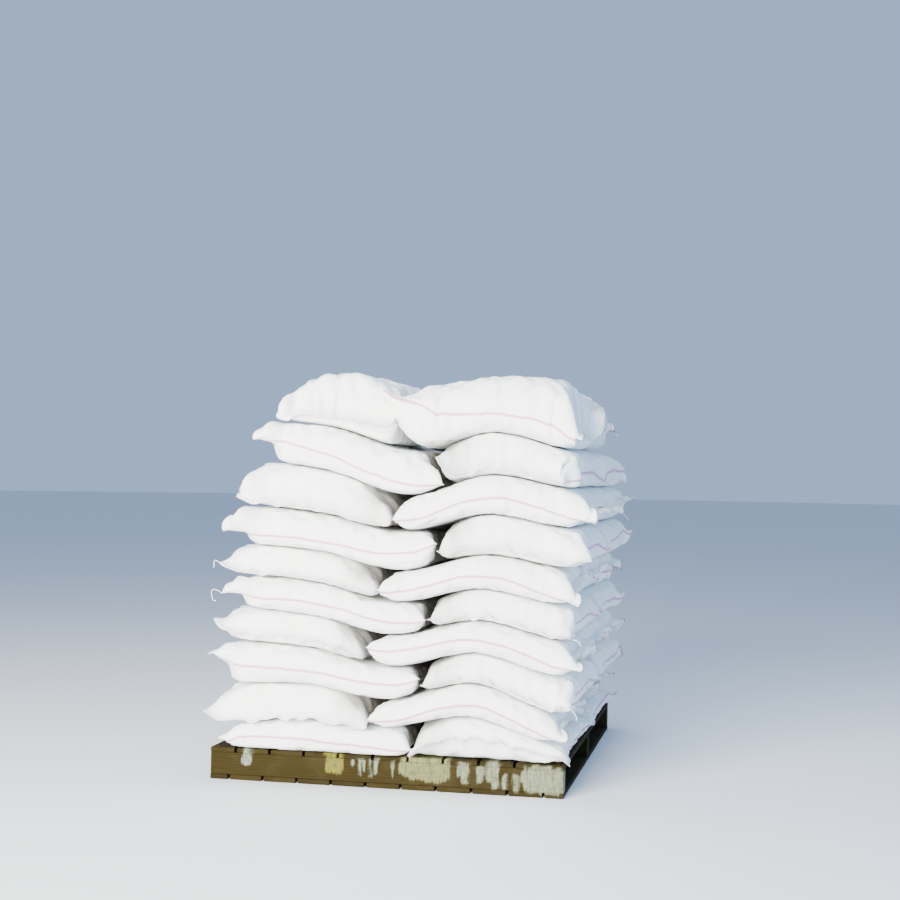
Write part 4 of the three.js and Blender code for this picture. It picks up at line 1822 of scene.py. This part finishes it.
@dataclass
class Plank:
    """A sawn board or beam with broken edges."""

    low: tuple[float, float, float]
    high: tuple[float, float, float]
    along: int
    seed: int
    thin: int = 2
    cell: float = 0.03
    edge: float = 0.0025

    def lines(self, axis: int) -> Array:
        """Grid lines over one axis: the face's end twice, the start of the broken edge, and even steps.

        Args:
            axis: the axis.

        Returns:
            The places of the lines.
        """
        low, high = self.low[axis], self.high[axis]
        steps = max(2, int(round((high - low) / self.cell)))
        inner = np.linspace(low + self.edge, high - self.edge, steps + 1)
        return np.concatenate([[low, low], inner, [high, high]])

    def sheets(self) -> tuple[Array, Array]:
        """The plank as two sheets that meet halfway through its thickness.

        Seen from the rim, each sheet goes straight up to the broken edge, over it and across the face. The
        face is moved by up to 0.8 mm by a smooth random field, as sawn faces are.

        Returns:
            The points of the two sheets.
        """
        first, second = [axis for axis in range(3) if axis != self.thin]
        a, b = np.meshgrid(self.lines(first), self.lines(second), indexing="ij")
        rows, columns = a.shape
        half = (self.high[self.thin] - self.low[self.thin]) / 2
        middle = (self.high[self.thin] + self.low[self.thin]) / 2
        row, column = np.indices(a.shape)
        from_rim = np.minimum.reduce([row, column, rows - 1 - row, columns - 1 - column])
        height = np.where(from_rim == 0, 0.0, np.where(from_rim == 1, half - self.edge, half))
        rng = np.random.default_rng(self.seed)
        sheets = []
        for side in (1, -1):
            wave = plane_waves(np.stack([a, b], -1), rng, (0.04, 0.3), 8) * 0.0004
            sheet = np.empty(a.shape + (3,))
            sheet[..., first] = a
            sheet[..., second] = b
            sunk = np.where(from_rim > 1, np.abs(wave), 0.0)
            sheet[..., self.thin] = middle + side * (height - sunk)
            sheets.append(sheet)
        return sheets[0], sheets[1]

    def shell(self) -> tuple[Array, Array]:
        """The plank's closed surface, with the points that coincide at its corners made one.

        Returns:
            The points and the quads, facing outwards.
        """
        upper, lower = self.sheets()
        points, above, below = closed_pair(upper, lower)
        _, firsts, numbers = np.unique(points.round(6), axis=0, return_index=True, return_inverse=True)
        points = points[firsts]
        quads = numbers.reshape(-1)[np.concatenate([above, below])]
        in_order = np.sort(quads, axis=1)
        quads = quads[(in_order[:, 1:] > in_order[:, :-1]).all(1)]
        # With the thin axis second of three, rows and columns run along x and z, whose cross is -y.
        return points, quads[:, ::-1] if self.thin == 1 else quads

    def grain_places(self, points: Array) -> Array:
        """Each point's place across, along and through the wood, off the tree's middle by its own offset.

        Args:
            points: places on the plank.

        Returns:
            The places in the wood.
        """
        rng = np.random.default_rng(self.seed + 500)
        others = [axis for axis in range(3) if axis != self.along]
        centre = (np.array(self.low) + np.array(self.high)) / 2
        local = points - centre
        offset = rng.uniform([-0.09, -3.0, 0.05], [0.09, 3.0, 0.16])
        return np.stack([local[:, others[0]], local[:, self.along], local[:, others[1]]], -1) + offset


@dataclass
class Pallet:
    """A two-way pallet: three stringers, ten top boards and eleven bottom boards."""

    finishes: Finishes
    gap: float = 0.0117
    board: float = 0.127
    top_first: float = 0.097
    top_full: int = 8
    bottom_first: float = 0.070
    bottom_full: int = 9
    # How far behind the front face the patches reach, and how wide their edges are inwards and outwards.
    patch_depth: float = 0.06
    patch_edges: tuple[float, float] = (0.006, 0.009)
    # A nail's distance from its board's edge, and the radius and the lift of its head's rings.
    nail_inset: float = 0.02
    nail_rings: tuple[tuple[float, float], ...] = (
        (0.0003, -0.0030),
        (0.0045, -0.0028),
        (0.0042, 0.0001),
        (0.0003, 0.0002),
    )

    def board_edges(self, left: float, right: float, first: float, full: int) -> list[tuple[float, float]]:
        """The X of both edges of each board: a first board, the full ones, and one that fills the rest.

        Args:
            left: the X of the deck's left end.
            right: that of its right end.
            first: the width of the first board.
            full: how many full boards there are.

        Returns:
            The lower and the higher X of each board.
        """
        starts = left + first + self.gap + np.arange(full) * (self.board + self.gap)
        last = starts[-1] + self.board + self.gap
        return [(left, left + first), *((s, s + self.board) for s in starts.tolist()), (last, right)]

    def worn_cover(self, points: Array, patches: tuple[Patch, ...], ragged: float) -> tuple[Array, Array]:
        """How much of the patches lies on each point, and how grey they are there, both from 0 to 1.

        A patch is a rounded rectangle in the front face, x from its start to its end and the depth below
        the pallet's top from top to bottom. The distance to its edge is bent by a smooth random field that
        changes four times as fast along the front as down it, as runs and drips do.

        Args:
            points: places on the pallet.
            patches: the patches.
            ragged: how far the edges wander, in metres.

        Returns:
            The cover and the grey at each point. Only what lies at the front is covered.
        """
        low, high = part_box("top_deck_boards")
        along = points[:, 0] - low.x
        down = high.z - points[:, 2]
        cover = np.zeros(len(points))
        grey = np.zeros(len(points))
        rng = np.random.default_rng(77)
        bend = ragged * plane_waves(points[:, (0, 2)] * [1.0, 0.25], rng, (0.012, 0.05), 12)
        for patch in patches:
            centre = ((patch.start + patch.end) / 2, (patch.top + patch.bottom) / 2)
            half = ((patch.end - patch.start) / 2, (patch.bottom - patch.top) / 2)
            radius = min(half) * 0.7
            beyond_along = np.abs(along - centre[0]) - half[0] + radius
            beyond_down = np.abs(down - centre[1]) - half[1] + radius
            distance = np.hypot(np.maximum(beyond_along, 0), np.maximum(beyond_down, 0)) - radius
            distance = distance + np.minimum(np.maximum(beyond_along, beyond_down), 0)
            own = smooth_step(self.patch_edges[1], -self.patch_edges[0], distance + bend)
            grey = np.where(own > cover, patch.grey, grey)
            cover = np.maximum(cover, own)
        return cover * (points[:, 1] < low.y + self.patch_depth), grey

    def wooden_piece(self, name: str, node: str, planks: list[Plank]) -> bpy.types.Object:
        """Makes one piece out of separate planks and dresses it.

        Args:
            name: the piece's name.
            node: the CAD node that it stands for.
            planks: its boards.

        Returns:
            The finished piece.
        """
        parts = MeshParts()
        places = []
        tones = []
        for plank in planks:
            points, quads = plank.shell()
            parts.add(points, quads)
            places.append(plank.grain_places(points))
            tone = np.random.default_rng(plank.seed + 900).uniform(-0.22, 0.16)
            tones.append(np.full(len(points), tone))
        piece = parts.to_object(name, [self.finishes.wood])
        points = np.concatenate(parts.vertices)
        set_attribute(piece, "grain_place", np.concatenate(places))
        set_attribute(piece, "board_tone", np.concatenate(tones))
        worn, worn_grey = self.worn_cover(points, WORN_PATCHES, 0.006)
        run, run_grey = self.worn_cover(points, WHITE_RUNS, 0.004)
        set_attribute(piece, "worn_patch", np.maximum(worn, run))
        set_attribute(piece, "patch_grey", np.where(run > worn, run_grey, worn_grey))
        piece.data.set_sharp_from_angle(angle=math.radians(30))
        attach(piece, BODY)
        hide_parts(node)
        LOG.info("made %s of %d planks", name, len(planks))
        return piece

    def stringer(self, place: str, seed: int) -> bpy.types.Object:
        """One beam along the pallet. The front one has a fine grid for its patches and runs.

        Args:
            place: "front", "middle" or "back".
            seed: what its random numbers start from.

        Returns:
            The finished piece.
        """
        low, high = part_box(f"stringer_{place}")
        cell = 0.005 if place == "front" else 0.02
        plank = Plank(tuple(low), tuple(high), along=0, seed=seed, thin=1, cell=cell)
        return self.wooden_piece(f"sawn_stringer_{place}", f"stringer_{place}", [plank])

    def deck(self, side: str, first: float, full: int, seed: int) -> bpy.types.Object:
        """One deck of boards across the stringers.

        Args:
            side: "top" or "bottom".
            first: the width of its first board.
            full: how many full boards it has.
            seed: what its random numbers start from.

        Returns:
            The finished piece.
        """
        node = f"{side}_deck_boards"
        low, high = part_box(node)
        planks = []
        for number, (start, end) in enumerate(self.board_edges(low.x, high.x, first, full)):
            planks.append(
                Plank((start, low.y, low.z), (end, high.y, high.z), along=1, seed=seed + number, cell=0.016)
            )
        return self.wooden_piece(f"sawn_{side}_boards", node, planks)

    def nail_head(self, x: float, y: float, level: float, way: int) -> tuple[Array, Array]:
        """One nail head, a low eight-sided cap.

        Args:
            x: its place along the pallet.
            y: its place across it.
            level: the height of the deck's face.
            way: 1 for a face that looks up, and -1 for one that looks down.

        Returns:
            The points and the quads, facing outwards.
        """
        turns = np.arange(8) * math.pi / 4
        rings = []
        for radius, lift in self.nail_rings:
            ring = [x + radius * np.cos(turns), y + radius * np.sin(turns), np.full(8, level + way * lift)]
            rings.append(np.stack(ring, -1))
        numbers = np.arange(len(rings) * 8).reshape(-1, 8)
        wrapped = np.concatenate([numbers, numbers[:, :1]], 1)
        cap = np.array([[0, 1, 2, 3], [0, 3, 4, 7], [4, 5, 6, 7]])
        quads = np.concatenate([grid_quads(wrapped), cap, cap[:, ::-1] + numbers[-1, 0]])
        return np.concatenate(rings), quads[:, ::-1] if way > 0 else quads

    def nails(self) -> bpy.types.Object:
        """Nail heads in both decks, two for each board on each stringer.

        Returns:
            The piece with all of them.
        """
        parts = MeshParts()
        decks = (("top", self.top_first, self.top_full), ("bottom", self.bottom_first, self.bottom_full))
        for side, first, full in decks:
            low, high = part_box(f"{side}_deck_boards")
            level, way = (high.z, 1) if side == "top" else (low.z, -1)
            for start, end in self.board_edges(low.x, high.x, first, full):
                for place in ("front", "middle", "back"):
                    beam_low, beam_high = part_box(f"stringer_{place}")
                    y = (beam_low.y + beam_high.y) / 2
                    for x in (start + self.nail_inset, end - self.nail_inset):
                        parts.add(*self.nail_head(x, y, level, way))
        piece = parts.to_object("nail_heads", [self.finishes.nail])
        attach(piece, BODY)
        LOG.info("made the nail heads")
        return piece

    def build(self) -> None:
        """Makes the whole pallet."""
        for seed, place in enumerate(("front", "middle", "back")):
            self.stringer(place, 41 + seed)
        self.deck("top", self.top_first, self.top_full, 100)
        self.deck("bottom", self.bottom_first, self.bottom_full, 200)
        self.nails()


def main() -> None:
    """Builds the scene: frame, studio, pallet and sacks."""
    logging.basicConfig(level=logging.INFO, format="%(name)s: %(message)s")
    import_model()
    Studio().build()
    finishes = Finishes()
    Pallet(finishes).build()
    deck_low, deck_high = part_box("top_deck_boards")
    profile = StackProfile(pallet_middle=(deck_low.x + deck_high.x) / 2, deck_top=deck_high.z)
    pieces = SackStack(profile, finishes).build()
    LOG.info("%d sacks", len(pieces))


if __name__ == "__main__":
    main()
